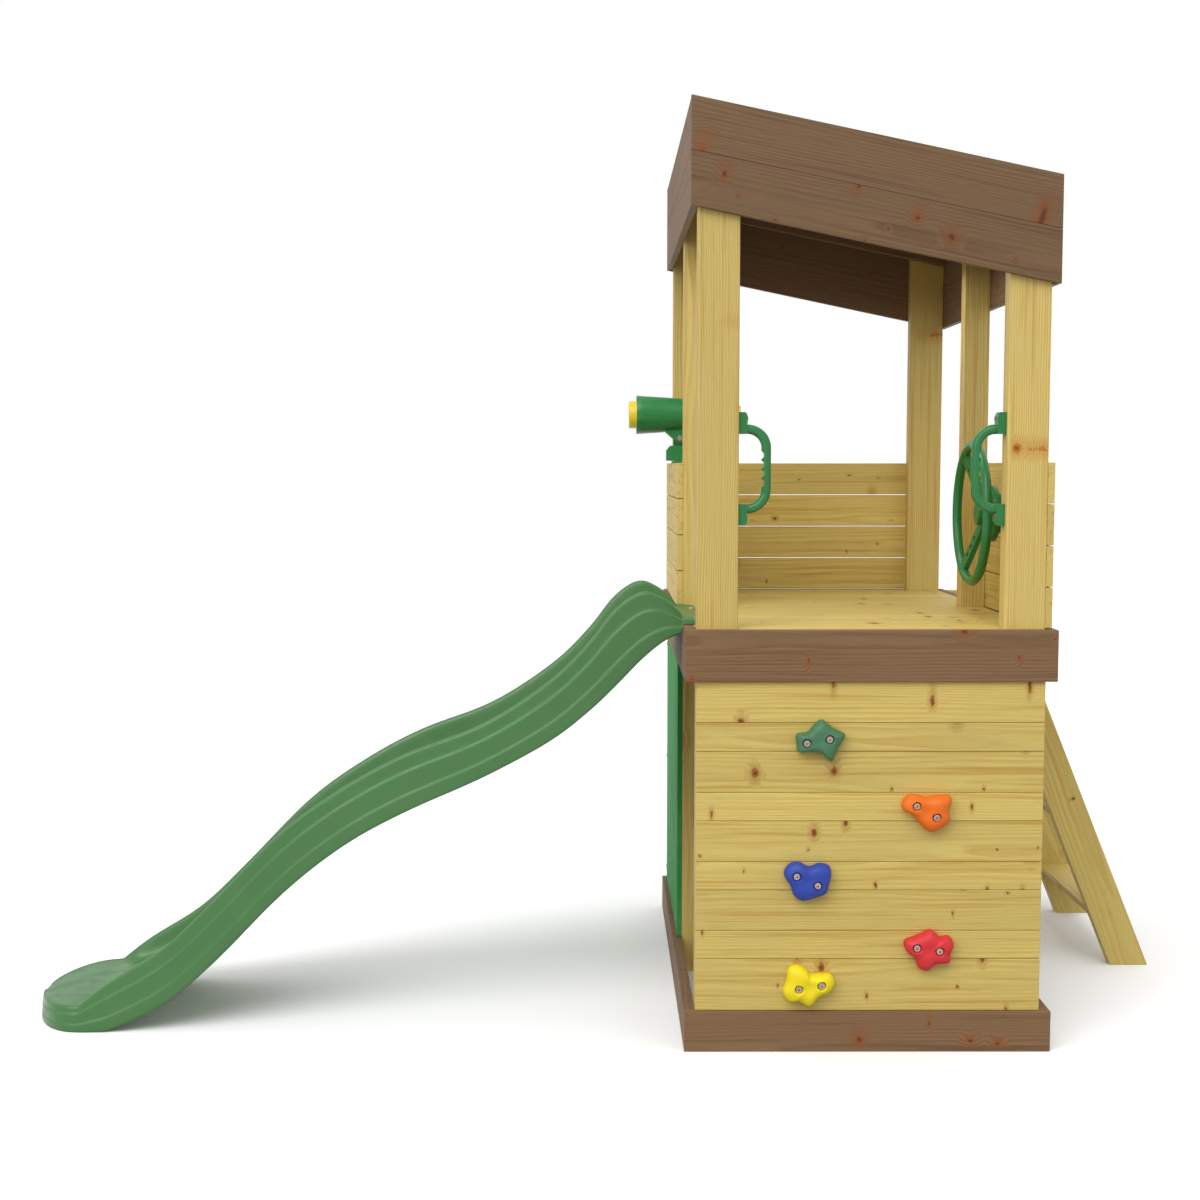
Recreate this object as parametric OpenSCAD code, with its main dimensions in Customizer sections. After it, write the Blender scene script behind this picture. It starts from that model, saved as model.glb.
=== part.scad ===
// Toddler play tower: timber frame with a climbing wall, ladder, wavy slide, pent roof,
// sand frame, chalkboard, steering wheel, telescope and two hand grips.
// X runs from the slide side to the ladder side, Y from the climbing wall to the back, Z up.
// The origin is under the middle of the front base board, in the middle of its thickness.

/* [Tower] */
// Overall width of the base frame
tower_w = 804; // [640:1:1000]
// Overall depth of the base frame
tower_d = 1221; // [1000:1:1500]
// Height of the deck's surface
deck_h = 930; // [760:1:1150]
// Height of the roof's high side
roof_h = 2062; // [1850:1:2500]
// Fall of the roof from its high side to its low side
roof_fall = 165; // [100:1:220]
// Height of the plank rails above the deck
rail_h = 360; // [270:1:450]

/* [Timber] */
// Width of a corner post
post_w = 90; // [70:1:110]
// Depth of every post
post_d = 45; // [36:1:60]
// Width of a middle post
mid_post_w = 62; // [50:1:90]
// Thickness of the base boards and the deck fascias
board_t = 24; // [18:1:30]
// Height of the base boards
base_h = 90; // [70:1:110]
// Height of the deck fascias
fascia_h = 112; // [90:1:130]
// Thickness of the wall planks and the rail planks
plank_t = 15; // [13:1:18]
// Gap between neighbouring boards of the rails and the deck
board_gap = 2; // [1:0.5:5]
// Thickness of a deck board
deck_t = 18; // [15:1:22]
// Width of a joist, and of a ladder stringer's edge
joist_t = 38; // [32:1:45]
// Height of a joist
joist_h = 70; // [60:1:90]
// Thickness of the roof's fascia boards and roof boards
roof_t = 16; // [12:1:20]
// Width of one roof fascia board
roof_board_w = 111; // [90:1:115]
// Height and width of a roof rafter
rafter = 30; // [25:1:35]

/* [Climbing wall] */
// Height of a wide wall plank
wide_plank = 90; // [80:1:92]
// Height of a narrow wall plank
narrow_plank = 63; // [50:1:65]
// How far a hold stands out of the wall
hold_depth = 34; // [30:1:45]
// Distance between a hold's two bolts
hold_bolt_pitch = 50; // [44:1:54]
// Diameter of a hold bolt's shank
hold_bolt_d = 8; // [6:1:8]

/* [Slide] */
// Half of the slide's width over its side flanges
slide_half_w = 203; // [180:1:225]
// Length of the round landing past the end of the rims
landing_len = 128; // [100:1:150]
// Wall thickness of the moulded slide
slide_wall = 8; // [6:1:10]
// How far the slide's lip reaches over the deck edge
lip_len = 48; // [40:1:70]
// Thickness of the slide's lip
lip_t = 12; // [9:1:14]

/* [Ladder] */
// Lean of the stringers from upright
ladder_lean = 22; // [18:1:26]
// Width of a stringer
stringer_w = 89; // [75:1:100]
// Clear width between the stringers
ladder_clear = 464; // [400:1:480]
// Thickness of a tread
tread_t = 22; // [18:1:30]
// Height between treads
tread_rise = 262; // [240:1:270]
// Depth of the tread housings in the stringers
housing = 8; // [5:1:12]

/* [Chalkboard] */
// Thickness of the chalkboard
chalk_t = 12; // [8:1:14]
// Height of the chalkboard
chalk_h = 726; // [520:1:727]

/* [Grips] */
// Overall height of a hand grip
grip_h = 244; // [200:1:300]
// How far a grip stands out of its post
grip_reach = 71; // [60:1:85]
// Thickness of the grip's bar
grip_t = 20.5; // [18:0.5:22]
// Width of the grip's bar across the post
grip_w = 26; // [22:1:34]
// Height of the top of the grips above the deck
grip_up = 468; // [400:1:520]

/* [Steering wheel] */
// Outer diameter of the wheel
wheel_d = 338; // [280:1:380]
// Diameter of the wheel's rim bar
rim_d = 22; // [18:1:26]
// Height of the wheel's axle above the deck
wheel_up = 242; // [220:1:270]
// Distance from the rail to the middle of the rim
wheel_reach = 95; // [88:1:120]
// Diameter of the wheel's base disc
wheel_base_d = 132; // [110:1:150]
// Diameter of the axle bolt
axle_d = 10; // [8:1:12]

/* [Telescope] */
// Radius of the barrel's front end
scope_r = 51; // [44:1:54]
// Distance from the tilt bolt to the barrel's front end
scope_front = 114; // [100:1:140]
// Distance from the tilt bolt to the eyepiece's end
scope_back = 162; // [150:1:190]
// Height of the barrel's axis above the rail
scope_rise = 128; // [124:1:140]
// Height of the tilt bolt above the rail
tilt_rise = 66; // [62:1:70]
// Width of the swivel bracket
bracket_w = 69; // [60:1:76]

/* [Fits] */
// Radial clearance of a running fit
run_fit = 0.06; // [0.03:0.01:0.08]
// Gap between faces that turn past each other
turn_gap = 0.4; // [0.3:0.1:0.8]
// Clearance around a part that only passes through
free_gap = 0.5; // [0.3:0.1:1]
// Diameter of a wood screw's shank
screw_d = 5; // [4:0.5:6]

/* [Hidden] */
$fn = 48;

pine = "burlywood";
stain = "saddlebrown";
green = "seagreen";
steel = "silver";
eps = 0.01;

// Faces of the frame: x_in and y_in are where the posts start, x_out and y_out where they end.
x_in = board_t;
x_out = tower_w - board_t;
y_in = board_t;
y_out = tower_d - board_t;
y_mid = (tower_d - post_d) / 2;
deck_low = deck_h - deck_t;
fascia_low = deck_h - fascia_h;
rail_count = 4;
rail_pitch = rail_h / rail_count;

// Roof lines, measured on the outer faces of the fascias.
roof_x0 = board_t - roof_t;
roof_x1 = tower_w - roof_x0;
roof_tan = roof_fall / (roof_x1 - roof_x0);
roof_cos = cos(atan(roof_tan));
roof_board_plumb = roof_board_w / roof_cos;
roof_seam = 1.5;
roof_side = 2 * roof_board_plumb + roof_seam;
roof_inset = 18;
roof_under = roof_inset + roof_t / roof_cos;
roof_bear = roof_under + 0.05;
function roof_z(x) = roof_h - (x - roof_x0) * roof_tan;

// Ladder lines: the inner edge of the stringers meets the right deck fascia at its lower edge.
lean_tan = tan(ladder_lean);
stringer_x = stringer_w / cos(ladder_lean);
ladder_in0 = tower_w + (fascia_low - 6) * lean_tan;
ladder_out0 = ladder_in0 + stringer_x;
ladder_y0 = y_mid + post_d + 4;
ladder_y1 = ladder_y0 + joist_t + ladder_clear;
tread_tops = [for (i = [1:3]) deck_h - i * tread_rise];

// Slide: middle of its width, and its side view as [x, rim, bed, lower edge] seen from the tower.
slide_y = (y_in + post_d + y_mid) / 2;
slide_rows = [
    [-0.6, 23, 9, -18], [-40, 57, 4, -37], [-90, 73, -8, -78], [-150, 34, -50, -140],
    [-210, -42, -118, -197], [-300, -130, -206, -266], [-450, -227, -300, -347],
    [-620, -292, -368, -423], [-760, -367, -444, -500], [-900, -467, -550, -610],
    [-1050, -619, -702, -762], [-1170, -734, -808, -864], [-1290, -810, -862, -922],
    [-1340, -846, -871, -930], [-1373, -873, -875, -930]
];

// Holds: place of the middle, turn of the bolt pair, middle of the pair, and the outline's points.
hold_y = y_in - plank_t;
hold_seat = 20;
hold_head_d = 14;
hold_head_h = 7;
tee_nut_d = 10;
tee_nut_len = 9;
hold_spots = [
    [292, 692, 10, [-6, -1]], [527, 533, -30, [-5, 4]], [269, 382, -24, [-4, 3]],
    [533, 228, -8, [-3, 5]], [272, 149, 9, [2, 0]]
];
hold_outlines = [
    [[53, 9], [38, -19], [28, -43], [18, -44], [0, -28], [-22, -26], [-47, -26], [-51, -8],
     [-51, 12], [-27, 18], [-12, 35], [5, 44], [28, 26], [49, 16]],
    [[51, 28], [46, 6], [48, -16], [30, -33], [8, -43], [-12, -30], [-31, -8], [-55, 9],
     [-54, 26], [-40, 39], [-22, 38], [-3, 34], [26, 38], [44, 38]],
    [[50, 18], [45, -8], [38, -27], [12, -38], [-14, -43], [-31, -32], [-39, -10], [-53, 14],
     [-45, 34], [-24, 43], [1, 32], [24, 39], [44, 34]],
    [[55, 14], [48, -8], [45, -27], [17, -31], [-3, -45], [-22, -38], [-30, -17], [-48, -2],
     [-53, 20], [-36, 29], [-14, 38], [5, 46], [25, 30], [44, 32]],
    [[57, 8], [47, -12], [22, -25], [2, -46], [-22, -35], [-44, -34], [-56, -14], [-49, 10],
     [-44, 38], [-26, 46], [-7, 38], [3, 26], [28, 27], [48, 25]]
];
hold_colours = ["darkgreen", "orange", "royalblue", "crimson", "gold"];
// Rings of a hold from the wall outwards, as [share of the outline, share of the depth].
hold_rings = [[0.95, 0], [1, 0.2], [0.98, 0.55], [0.9, 0.86], [0.8, 1]];

// Hand grips: lug outline as [distance from the post, distance from the grip's end], and finger hollows.
grip_top = deck_h + grip_up;
grip_tab_h = 46.5;
grip_tab_t = 20.5;
grip_bend = 51;
grip_lug = [
    [0, 0], [14, 0], [17, 3], [grip_tab_t, 12], [18.5, 26], [20, grip_tab_h], [0, grip_tab_h]
];
grip_lug_w = 30;
finger_pitch = 20;
finger_depth = 6.5;
finger_r = 8.8;

// Steering wheel, with its axle along X and its base on the inside of the right rail.
wheel_y = slide_y;
wheel_z = deck_h + wheel_up;
rail_face = x_out;
wheel_x = rail_face - wheel_reach;
base_disc_x = rail_face - 57;
base_disc_t = 15;
wheel_hub_t = 14;
hub_x = base_disc_x - turn_gap - wheel_hub_t;
axle_head_t = 6;

// Telescope: the tilt bolt's line is over the middle of the rail plank and its cleat.
cleat_t = 24;
cleat_len = 120;
cleat_h = 60;
scope_x = x_in - plank_t + (plank_t + cleat_t) / 2;
scope_y = (y_mid + post_d + y_out - post_d) / 2;
rail_top = deck_h + rail_h;
foot_t = 6;
tilt_z = rail_top + tilt_rise;
axis_z = rail_top + scope_rise;
tilt_bolt_d = 8;
swivel_d = 8;
tongue_t = 18;
cheek_t = 10;
tongue_r = 13;
bracket_h = 46;

// Fixings
panel_screw_len = 30;
base_neck_d = 92;

module place() { translate([-tower_w / 2, -board_t / 2, 0]) children(); }

// A plate drawn in X and Z, from y0 to y0 + t.
module xz(y0, t) { translate([0, y0 + t, 0]) rotate([90, 0, 0]) linear_extrude(t) children(); }

// A bar drawn in Y and Z, from x0 to x0 + len.
module yz(x0, len) { translate([x0, 0, 0]) rotate([90, 0, 90]) linear_extrude(len) children(); }

// A rod along X or along Y, starting at the given point.
module rod_x(p, r, len) { translate(p) rotate([0, 90, 0]) cylinder(r = r, h = len); }
module rod_y(p, r, len, n = 48) {
    translate(p) rotate([-90, 0, 0]) cylinder(r = r, h = len, $fn = n);
}

// A block between two opposite corners.
module block(a, b) { translate(a) cube(b - a); }

// Catmull-Rom interpolation through a list of vectors, with n steps between neighbours.
function spline_at(a, b, c, d, t) =
    0.5 * (2 * b + (c - a) * t + (2 * a - 5 * b + 4 * c - d) * t * t
    + (3 * b - a - 3 * c + d) * t * t * t);
function open_curve(p, n) = concat(
    [for (i = [0:len(p) - 2], j = [0:n - 1])
        spline_at(p[max(i - 1, 0)], p[i], p[i + 1], p[min(i + 2, len(p) - 1)], j / n)],
    [p[len(p) - 1]]
);
function closed_curve(p, n) = [
    for (i = [0:len(p) - 1], j = [0:n - 1])
        spline_at(p[(i + len(p) - 1) % len(p)], p[i], p[(i + 1) % len(p)], p[(i + 2) % len(p)], j / n)
];

// A closed solid through rings of equal length; start_cap and end_cap are flat or a single point.
module skin(rings) {
    n = len(rings[0]);
    last = len(rings) - 1;
    polyhedron(
        points = [for (ring = rings, p = ring) p],
        faces = concat(
            [[for (i = [0:n - 1]) i]],
            [for (k = [0:last - 1], i = [0:n - 1], half = [0:1])
                half == 0
                    ? [k * n + i, (k + 1) * n + i, (k + 1) * n + (i + 1) % n]
                    : [k * n + i, (k + 1) * n + (i + 1) % n, k * n + (i + 1) % n]],
            [[for (i = [n - 1:-1:0]) last * n + i]]
        )
    );
}

module base_board(side) {
    color(stain)
    if (side == "front") block([0, 0, 0], [tower_w, board_t, base_h]);
    else if (side == "back") block([0, y_out, 0], [tower_w, tower_d, base_h]);
    else if (side == "left") block([0, y_in, 0], [x_in, y_out, base_h]);
    else block([x_out, y_in, 0], [tower_w, y_out, base_h]);
}

// A post whose foot is on the ground and whose top is cut to the slope under the roof boards.
module post(x0, w, y0) {
    color(pine)
    xz(y0, post_d) polygon([
        [x0, 0], [x0 + w, 0],
        [x0 + w, roof_z(x0 + w) - roof_bear], [x0, roof_z(x0) - roof_bear]
    ]);
}

// Heights of the joints between the wall planks, from the base board up to the fascia.
pair = wide_plank + narrow_plank;
plank_pairs = floor((fascia_low - base_h - wide_plank) / pair);
bottom_plank = fascia_low - base_h - plank_pairs * pair;
plank_joints = concat(
    [base_h],
    [for (i = [0:plank_pairs - 1], j = [0:1]) base_h + bottom_plank + i * pair + j * narrow_plank],
    [fascia_low]
);

// Section of a tongued and grooved plank between heights z0 and z1.
module plank_section(z0, z1, groove, tongue) {
    ease = 1.2;
    half = 2;
    high = 5;
    mid = y_in - plank_t / 2;
    difference() {
        union() {
            polygon([
                [hold_y + ease, z0], [y_in, z0], [y_in, z1], [hold_y + ease, z1],
                [hold_y, z1 - ease], [hold_y, z0 + ease]
            ]);
            if (tongue) translate([mid - half, z1 - 1]) square([2 * half, high + 1]);
        }
        if (groove) translate([mid - half - free_gap / 2, z0 - 1])
            square([2 * half + free_gap, high + free_gap + 1]);
    }
}

module climbing_planks() {
    last = len(plank_joints) - 2;
    color(pine)
    difference() {
        for (i = [0:last])
            yz(x_in, x_out - x_in)
                plank_section(plank_joints[i], plank_joints[i + 1], i > 0, i < last);
        each_hold_bolt() {
            rod_y([0, hold_y - 1, 0], hold_bolt_d / 2 + free_gap, plank_t + 2);
            rod_y([0, y_in - tee_nut_len, 0], tee_nut_d / 2 + free_gap / 2, tee_nut_len + 1);
        }
    }
}

// Puts its children at every hold bolt, with Y kept and X and Z at zero on the bolt's line.
module each_hold_bolt() {
    for (spot = hold_spots, s = [-1, 1])
        translate([
            spot[0] + spot[3].x + s * hold_bolt_pitch / 2 * cos(spot[2]), 0,
            spot[1] + spot[3].y + s * hold_bolt_pitch / 2 * sin(spot[2])
        ])
            children();
}

module hold(i) {
    spot = hold_spots[i];
    outline = closed_curve(hold_outlines[i], 2);
    color(hold_colours[i])
    difference() {
        skin([for (ring = hold_rings) [for (p = outline)
            [spot[0] + p.x * ring[0], hold_y - ring[1] * hold_depth, spot[1] + p.y * ring[0]]]]);
        each_hold_bolt() {
            rod_y([0, hold_y - hold_depth - 1, 0], hold_bolt_d / 2 + free_gap, hold_depth + 2);
            rod_y([0, hold_y - hold_depth - 1, 0], hold_head_d / 2 + 1, hold_depth - hold_seat + 1);
        }
    }
}

module hold_bolts() {
    color(steel)
    each_hold_bolt() difference() {
        union() {
            rod_y([0, hold_y - hold_seat - hold_head_h, 0], hold_head_d / 2, hold_head_h);
            rod_y([0, hold_y - hold_seat - 1, 0], hold_bolt_d / 2, hold_seat + plank_t + 9);
        }
        translate([0, hold_y - hold_seat - hold_head_h - 1, 0])
            rotate([-90, 0, 0]) cylinder(r = 3.4, h = 5, $fn = 6);
    }
}

module hold_tee_nuts() {
    color(steel)
    each_hold_bolt() difference() {
        union() {
            rod_y([0, y_in - tee_nut_len, 0], tee_nut_d / 2, tee_nut_len + 1);
            rod_y([0, y_in, 0], 12, 1.8);
        }
        rod_y([0, y_in - tee_nut_len - 1, 0], hold_bolt_d / 2 + run_fit, tee_nut_len + 4);
    }
}

module deck_fascia(side) {
    color(stain)
    if (side == "front") block([0, 0, fascia_low], [tower_w, board_t, deck_h]);
    else if (side == "back") block([0, y_out, fascia_low], [tower_w, tower_d, deck_h]);
    else if (side == "left") block([0, y_in, fascia_low], [x_in, y_out, deck_h]);
    else block([x_out, y_in, fascia_low], [tower_w, y_out, deck_h]);
}

// Two joists against the inner faces of the corner posts and one in the middle.
joist_xs = [x_in + post_w, (tower_w - joist_t) / 2, x_out - post_w - joist_t];
joist_bolt_d = 8;
joist_bolt_z = deck_low - joist_h / 2;
joist_bolt_len = joist_t + post_w + 14;

module each_joist_bolt() {
    for (y = [y_in + post_d / 2, y_out - post_d / 2], side = [0, 1])
        translate([side == 0 ? x_in : x_out, y, joist_bolt_z])
            mirror([side, 0, 0]) children();
}

module deck_joists() {
    color(pine)
    difference() {
        for (x = joist_xs)
            block([x, y_in, deck_low - joist_h], [x + joist_t, y_out, deck_low]);
        each_joist_bolt() rod_x([post_w - 1, 0, 0], joist_bolt_d / 2 + free_gap, joist_t + 2);
    }
}

// Coach bolts that hold the outer joists to the corner posts, with a washer and a nut inside.
module joist_bolts() {
    color(steel)
    each_joist_bolt() {
        rod_x([0.2, 0, 0], joist_bolt_d / 2, joist_bolt_len);
        rod_x([post_w + joist_t, 0, 0], 11, 1.6);
        translate([post_w + joist_t + 1.6 - eps, 0, 0])
            rotate([0, 90, 0]) cylinder(r = 7.5, h = 6.5, $fn = 6);
    }
}

deck_count = round((y_out - y_in + board_gap) / (88 + board_gap));
deck_pitch = floor(10 * (y_out - y_in + board_gap) / deck_count) / 10;

// Foot prints of the posts as [x0, width, y0], from which the posts are made and the deck cut.
corner_xs = [x_in, x_out - post_w];
mid_xs = [x_in, x_out - mid_post_w];
post_prints = [
    [corner_xs[0], post_w, y_in], [corner_xs[1], post_w, y_in],
    [mid_xs[0], mid_post_w, y_mid], [mid_xs[1], mid_post_w, y_mid],
    [corner_xs[0], post_w, y_out - post_d], [corner_xs[1], post_w, y_out - post_d]
];

module post_at(i) {
    if (i == 2 || i == 3) post(post_prints[i][0], post_prints[i][1], post_prints[i][2]);
    else difference() {
        post(post_prints[i][0], post_prints[i][1], post_prints[i][2]);
        each_joist_bolt() rod_x([-1, 0, 0], joist_bolt_d / 2 + free_gap, post_w + 2);
    }
}

module deck_boards() {
    color(pine)
    difference() {
        for (i = [0:deck_count - 1])
            block(
                [x_in, y_in + i * deck_pitch, deck_low],
                [x_out, y_in + (i + 1) * deck_pitch - board_gap, deck_h]
            );
        for (p = post_prints)
            block(
                [p[0] - 1, p[2] - free_gap, deck_low - 1],
                [p[0] + p[1] + free_gap, p[2] + post_d + free_gap, deck_h + 1]
            );
        for (p = post_prints)
            block(
                [p[0] - free_gap, p[2] - free_gap, deck_low - 1],
                [p[0] + p[1] + 1, p[2] + post_d + free_gap, deck_h + 1]
            );
        each_slide_bolt() translate([0, 0, -deck_t - 1]) cylinder(r = 3 + free_gap, h = deck_t + 2);
    }
}

// Four rail planks between two opposite corners in plan.
module rail(a, b) {
    color(pine)
    for (i = [0:rail_count - 1])
        block(
            [a.x, a.y, deck_h + i * rail_pitch + board_gap],
            [b.x, b.y, deck_h + (i + 1) * rail_pitch]
        );
}

module rail_planks_back() { rail([x_in, y_out], [x_out, y_out + plank_t]); }
module rail_planks_left() { rail([x_in - plank_t, y_mid], [x_in, y_out + plank_t]); }
module rail_planks_right() {
    difference() {
        rail([x_out, y_in], [x_out + plank_t, y_mid + post_d]);
        rod_x([x_out - 1, wheel_y, wheel_z], axle_d / 2 + free_gap, plank_t + 2);
    }
}

// Upper and lower fascia boards that follow the slope, over the front or the back posts.
module sloping_fascia(y0) {
    color(stain)
    for (drop = [0, roof_board_plumb + roof_seam])
        xz(y0, roof_t) polygon([
            [roof_x0, roof_z(roof_x0) - drop], [roof_x1, roof_z(roof_x1) - drop],
            [roof_x1, roof_z(roof_x1) - drop - roof_board_plumb],
            [roof_x0, roof_z(roof_x0) - drop - roof_board_plumb]
        ]);
}

// Upper and lower level fascia boards over the side posts, from x0 with their top at z1.
module level_fascia(x0, z1, z0) {
    middle = z0 + roof_board_plumb;
    color(stain) {
        block([x0, y_in, z0], [x0 + roof_t, y_out, middle]);
        block([x0, y_in, middle + roof_seam], [x0 + roof_t, y_out, z1]);
    }
}

module roof_fascia_left() {
    level_fascia(roof_x0, roof_z(roof_x0 + roof_t), roof_z(roof_x0) - roof_side);
}
module roof_fascia_right() {
    level_fascia(roof_x1 - roof_t, roof_z(roof_x1), roof_z(roof_x1) - roof_side);
}

// Rafters behind the front posts, in front of the middle posts and in front of the back posts.
module roof_rafters() {
    color(stain)
    for (y0 = [y_in + post_d, y_mid - rafter, y_out - post_d - rafter])
        xz(y0, rafter) polygon([
            [x_in, roof_z(x_in) - roof_bear], [x_out, roof_z(x_out) - roof_bear],
            [x_out, roof_z(x_out) - roof_bear - rafter],
            [x_in, roof_z(x_in) - roof_bear - rafter]
        ]);
}

roof_boards_n = 7;
roof_pitch_x = (x_out - x_in + board_gap) / roof_boards_n;

module roof_boards() {
    color(stain)
    for (i = [0:roof_boards_n - 1]) {
        a = x_in + i * roof_pitch_x;
        b = a + roof_pitch_x - board_gap;
        xz(y_in, y_out - y_in) polygon([
            [a, roof_z(a) - roof_under], [b, roof_z(b) - roof_under],
            [b, roof_z(b) - roof_inset], [a, roof_z(a) - roof_inset]
        ]);
    }
}

// Edges of the stringers at height z.
function ladder_in(z) = ladder_in0 - z * lean_tan;
function ladder_out(z) = ladder_out0 - z * lean_tan;

module stringer_outline() {
    meet = (ladder_in0 - tower_w) / lean_tan;
    polygon([
        [ladder_in0, 0], [ladder_out0, 0], [ladder_out(deck_h), deck_h],
        [tower_w, deck_h], [tower_w, meet]
    ]);
}

tread_ease = 3;

// Section of a tread whose edges follow the stringers, grown by g for its housing.
module tread_outline(z, g) {
    polygon([
        [ladder_in(z - tread_t) + tread_ease - g, z - tread_t - g],
        [ladder_out(z - tread_t) - tread_ease + g, z - tread_t - g],
        [ladder_out(z) - tread_ease + g, z + g],
        [ladder_in(z) + tread_ease - g, z + g]
    ]);
}

module ladder_stringer(y0, housing_y) {
    color(pine)
    difference() {
        xz(y0, joist_t) stringer_outline();
        for (z = tread_tops) xz(housing_y, housing) tread_outline(z, 0.2);
    }
}

module ladder_stringer_near() {
    ladder_stringer(ladder_y0, ladder_y0 + joist_t - housing);
}
module ladder_stringer_far() { ladder_stringer(ladder_y1, ladder_y1); }

module ladder_treads() {
    color(pine)
    for (z = tread_tops)
        xz(ladder_y0 + joist_t - housing, ladder_clear + 2 * housing) tread_outline(z, 0);
}

// One cross-section of the slide. The step widths shrink with w, so the landing's tip stays closed.
function slide_half(w, rim, bed, low) =
    let (k = min(1, w / 130), h = rim - low, t = slide_wall)
    [
        [w, low], [w, low + 0.27 * h], [w - 5 * k, low + 0.31 * h], [w - 6 * k, low + 0.66 * h],
        [w - 11 * k, low + 0.70 * h], [w - 13 * k, max(rim - 8, low + 0.74 * h)],
        [w - 18 * k, rim - 1], [w - 24 * k, rim], [w - 31 * k, rim - 2],
        [w - 36 * k, max(rim - 10, bed)], [w - 46 * k, bed + (rim - bed) * 0.08], [w - 60 * k, bed]
    ];
function slide_under(w, rim, bed, low) =
    let (k = min(1, w / 130), h = rim - low, t = slide_wall)
    [
        [w - 56 * k, bed - t], [w - 44 * k, bed - t + (rim - bed) * 0.1],
        [w - 32 * k, rim - t - 2], [w - 20 * k, rim - t - 2],
        [w - (t + 6) * k, low + 0.62 * h], [w - t * k, low]
    ];
function mirrored(p) = [for (i = [len(p) - 1:-1:0]) [-p[i].x, p[i].y]];
function slide_section(x, w, rim, bed, low) =
    let (
        top = slide_half(w, rim, bed, low),
        under = slide_under(w, rim, bed, low)
    )
    [for (p = concat(top, mirrored(top), mirrored(under), under)) [x, slide_y + p.x, deck_h + p.y]];

lip_floor = lip_t - 3;

module slide() {
    body = open_curve(slide_rows, 2);
    tip = slide_rows[len(slide_rows) - 1];
    color(green)
    difference() {
        skin(concat(
            [for (x = [lip_len, lip_len - 8, 8, -0.1])
                slide_section(x, slide_half_w, lip_t + 4 - x / 12, lip_floor, 0)],
            [for (r = body) slide_section(r[0], slide_half_w, r[1], r[2], r[3])],
            [for (a = [15:12:87]) slide_section(
                tip[0] - landing_len * sin(a), slide_half_w * cos(a),
                tip[1] - 14 * (1 - cos(a)), tip[2] - 14 * (1 - cos(a)), tip[3])]
        ));
        each_slide_bolt() translate([0, 0, -1]) cylinder(r = 3 + free_gap, h = lip_t + 8, $fn = 12);
    }
}

module each_slide_bolt() {
    for (s = [-1, 1])
        translate([x_in + 12, slide_y + s * slide_half_w * 0.6, deck_h]) children();
}

module slide_bolts() {
    color(steel)
    each_slide_bolt() {
        translate([0, 0, -deck_t + 0.2]) cylinder(r = 3, h = deck_t + lip_floor);
        translate([0, 0, lip_floor]) cylinder(r1 = 7, r2 = 4, h = 3.5);
    }
}

chalk_low = fascia_low - 1 - chalk_h;

module each_chalk_screw() {
    for (y = [y_mid + post_d / 2, y_out - post_d / 2], z = [40, chalk_h / 2, chalk_h - 40])
        translate([x_in - chalk_t, y, chalk_low + z]) children();
}

module chalkboard() {
    color(green)
    difference() {
        block([x_in - chalk_t, y_mid, chalk_low], [x_in, y_out, chalk_low + chalk_h]);
        each_chalk_screw() rod_x([-1, 0, 0], screw_d / 2 + free_gap, chalk_t + 2);
    }
}

// Screw with a low round head on the board's face and its point in the post.
module chalkboard_screws() {
    color(steel)
    each_chalk_screw() {
        rod_x([-0.5, 0, 0], screw_d / 2, chalk_t + 0.3);
        rod_x([-2.2, 0, 0], screw_d, 2.2);
    }
}

// Hand grip in its own frame: the post's face is x = 0 and the bar stands out along +X.
module grip_section() {
    flat = (grip_w - grip_t) / 2;
    for (s = [-1, 1]) translate([0, s * flat]) circle(d = grip_t);
    square([grip_t, 2 * flat], center = true);
}

module grip() {
    bar_z = grip_h - grip_tab_h + grip_t / 2;
    out_x = grip_reach - grip_t / 2;
    r = grip_bend - grip_t / 2;
    low_z = grip_h - bar_z;
    difference() {
        union() {
            for (top = [0, 1]) translate([0, 0, top * grip_h]) mirror([0, 0, top]) {
                xz(-grip_lug_w / 2, grip_lug_w) polygon(grip_lug);
                translate([0, 0, low_z]) rotate([0, 90, 0]) linear_extrude(out_x - r + eps)
                    rotate(0) grip_section();
                translate([out_x - r, 0, low_z + r]) rotate([90, 0, 0])
                    rotate([0, 0, -90]) rotate_extrude(angle = 90) translate([r, 0]) grip_section();
            }
            translate([out_x, 0, low_z + r - eps]) linear_extrude(bar_z - low_z - 2 * r + 2 * eps)
                grip_section();
        }
        for (i = [-1.5:1:1.5])
            rod_y([out_x - grip_t / 2 + finger_depth - finger_r, -grip_w, grip_h / 2 + i * finger_pitch],
                finger_r, 2 * grip_w);
        each_grip_screw() rod_x([-1, 0, 0], screw_d / 2 + free_gap, grip_tab_t + 2);
        each_grip_screw() rod_x([grip_tab_t - 5, 0, 0], screw_d + 1, 6);
    }
}

// Rectangle with rounded corners, centred on the origin.
module offset_box(a, b, r) {
    square([a - 2 * r, b], center = true);
    square([a, b - 2 * r], center = true);
    for (x = [-1, 1], y = [-1, 1]) translate([x * (a / 2 - r), y * (b / 2 - r)]) circle(r = r);
}

grip_screw_z = 14;

module each_grip_screw() {
    for (z = [grip_screw_z, grip_h - grip_screw_z]) translate([0, 0, z]) children();
}

// Puts its children in the left grip's frame, or in the right grip's, which is its mirror image.
module at_grip(side) {
    translate([
        side == 0 ? x_in + post_w : x_out - post_w, y_in + post_d / 2, grip_top - grip_h
    ])
        mirror([side, 0, 0]) children();
}

module grip_screws() {
    color(steel)
    for (side = [0, 1]) at_grip(side) each_grip_screw() {
        rod_x([0.3, 0, 0], screw_d / 2, grip_tab_t - 5);
        rod_x([grip_tab_t - 5, 0, 0], screw_d, 3);
    }
}

wheel_seat = 41;

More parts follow.
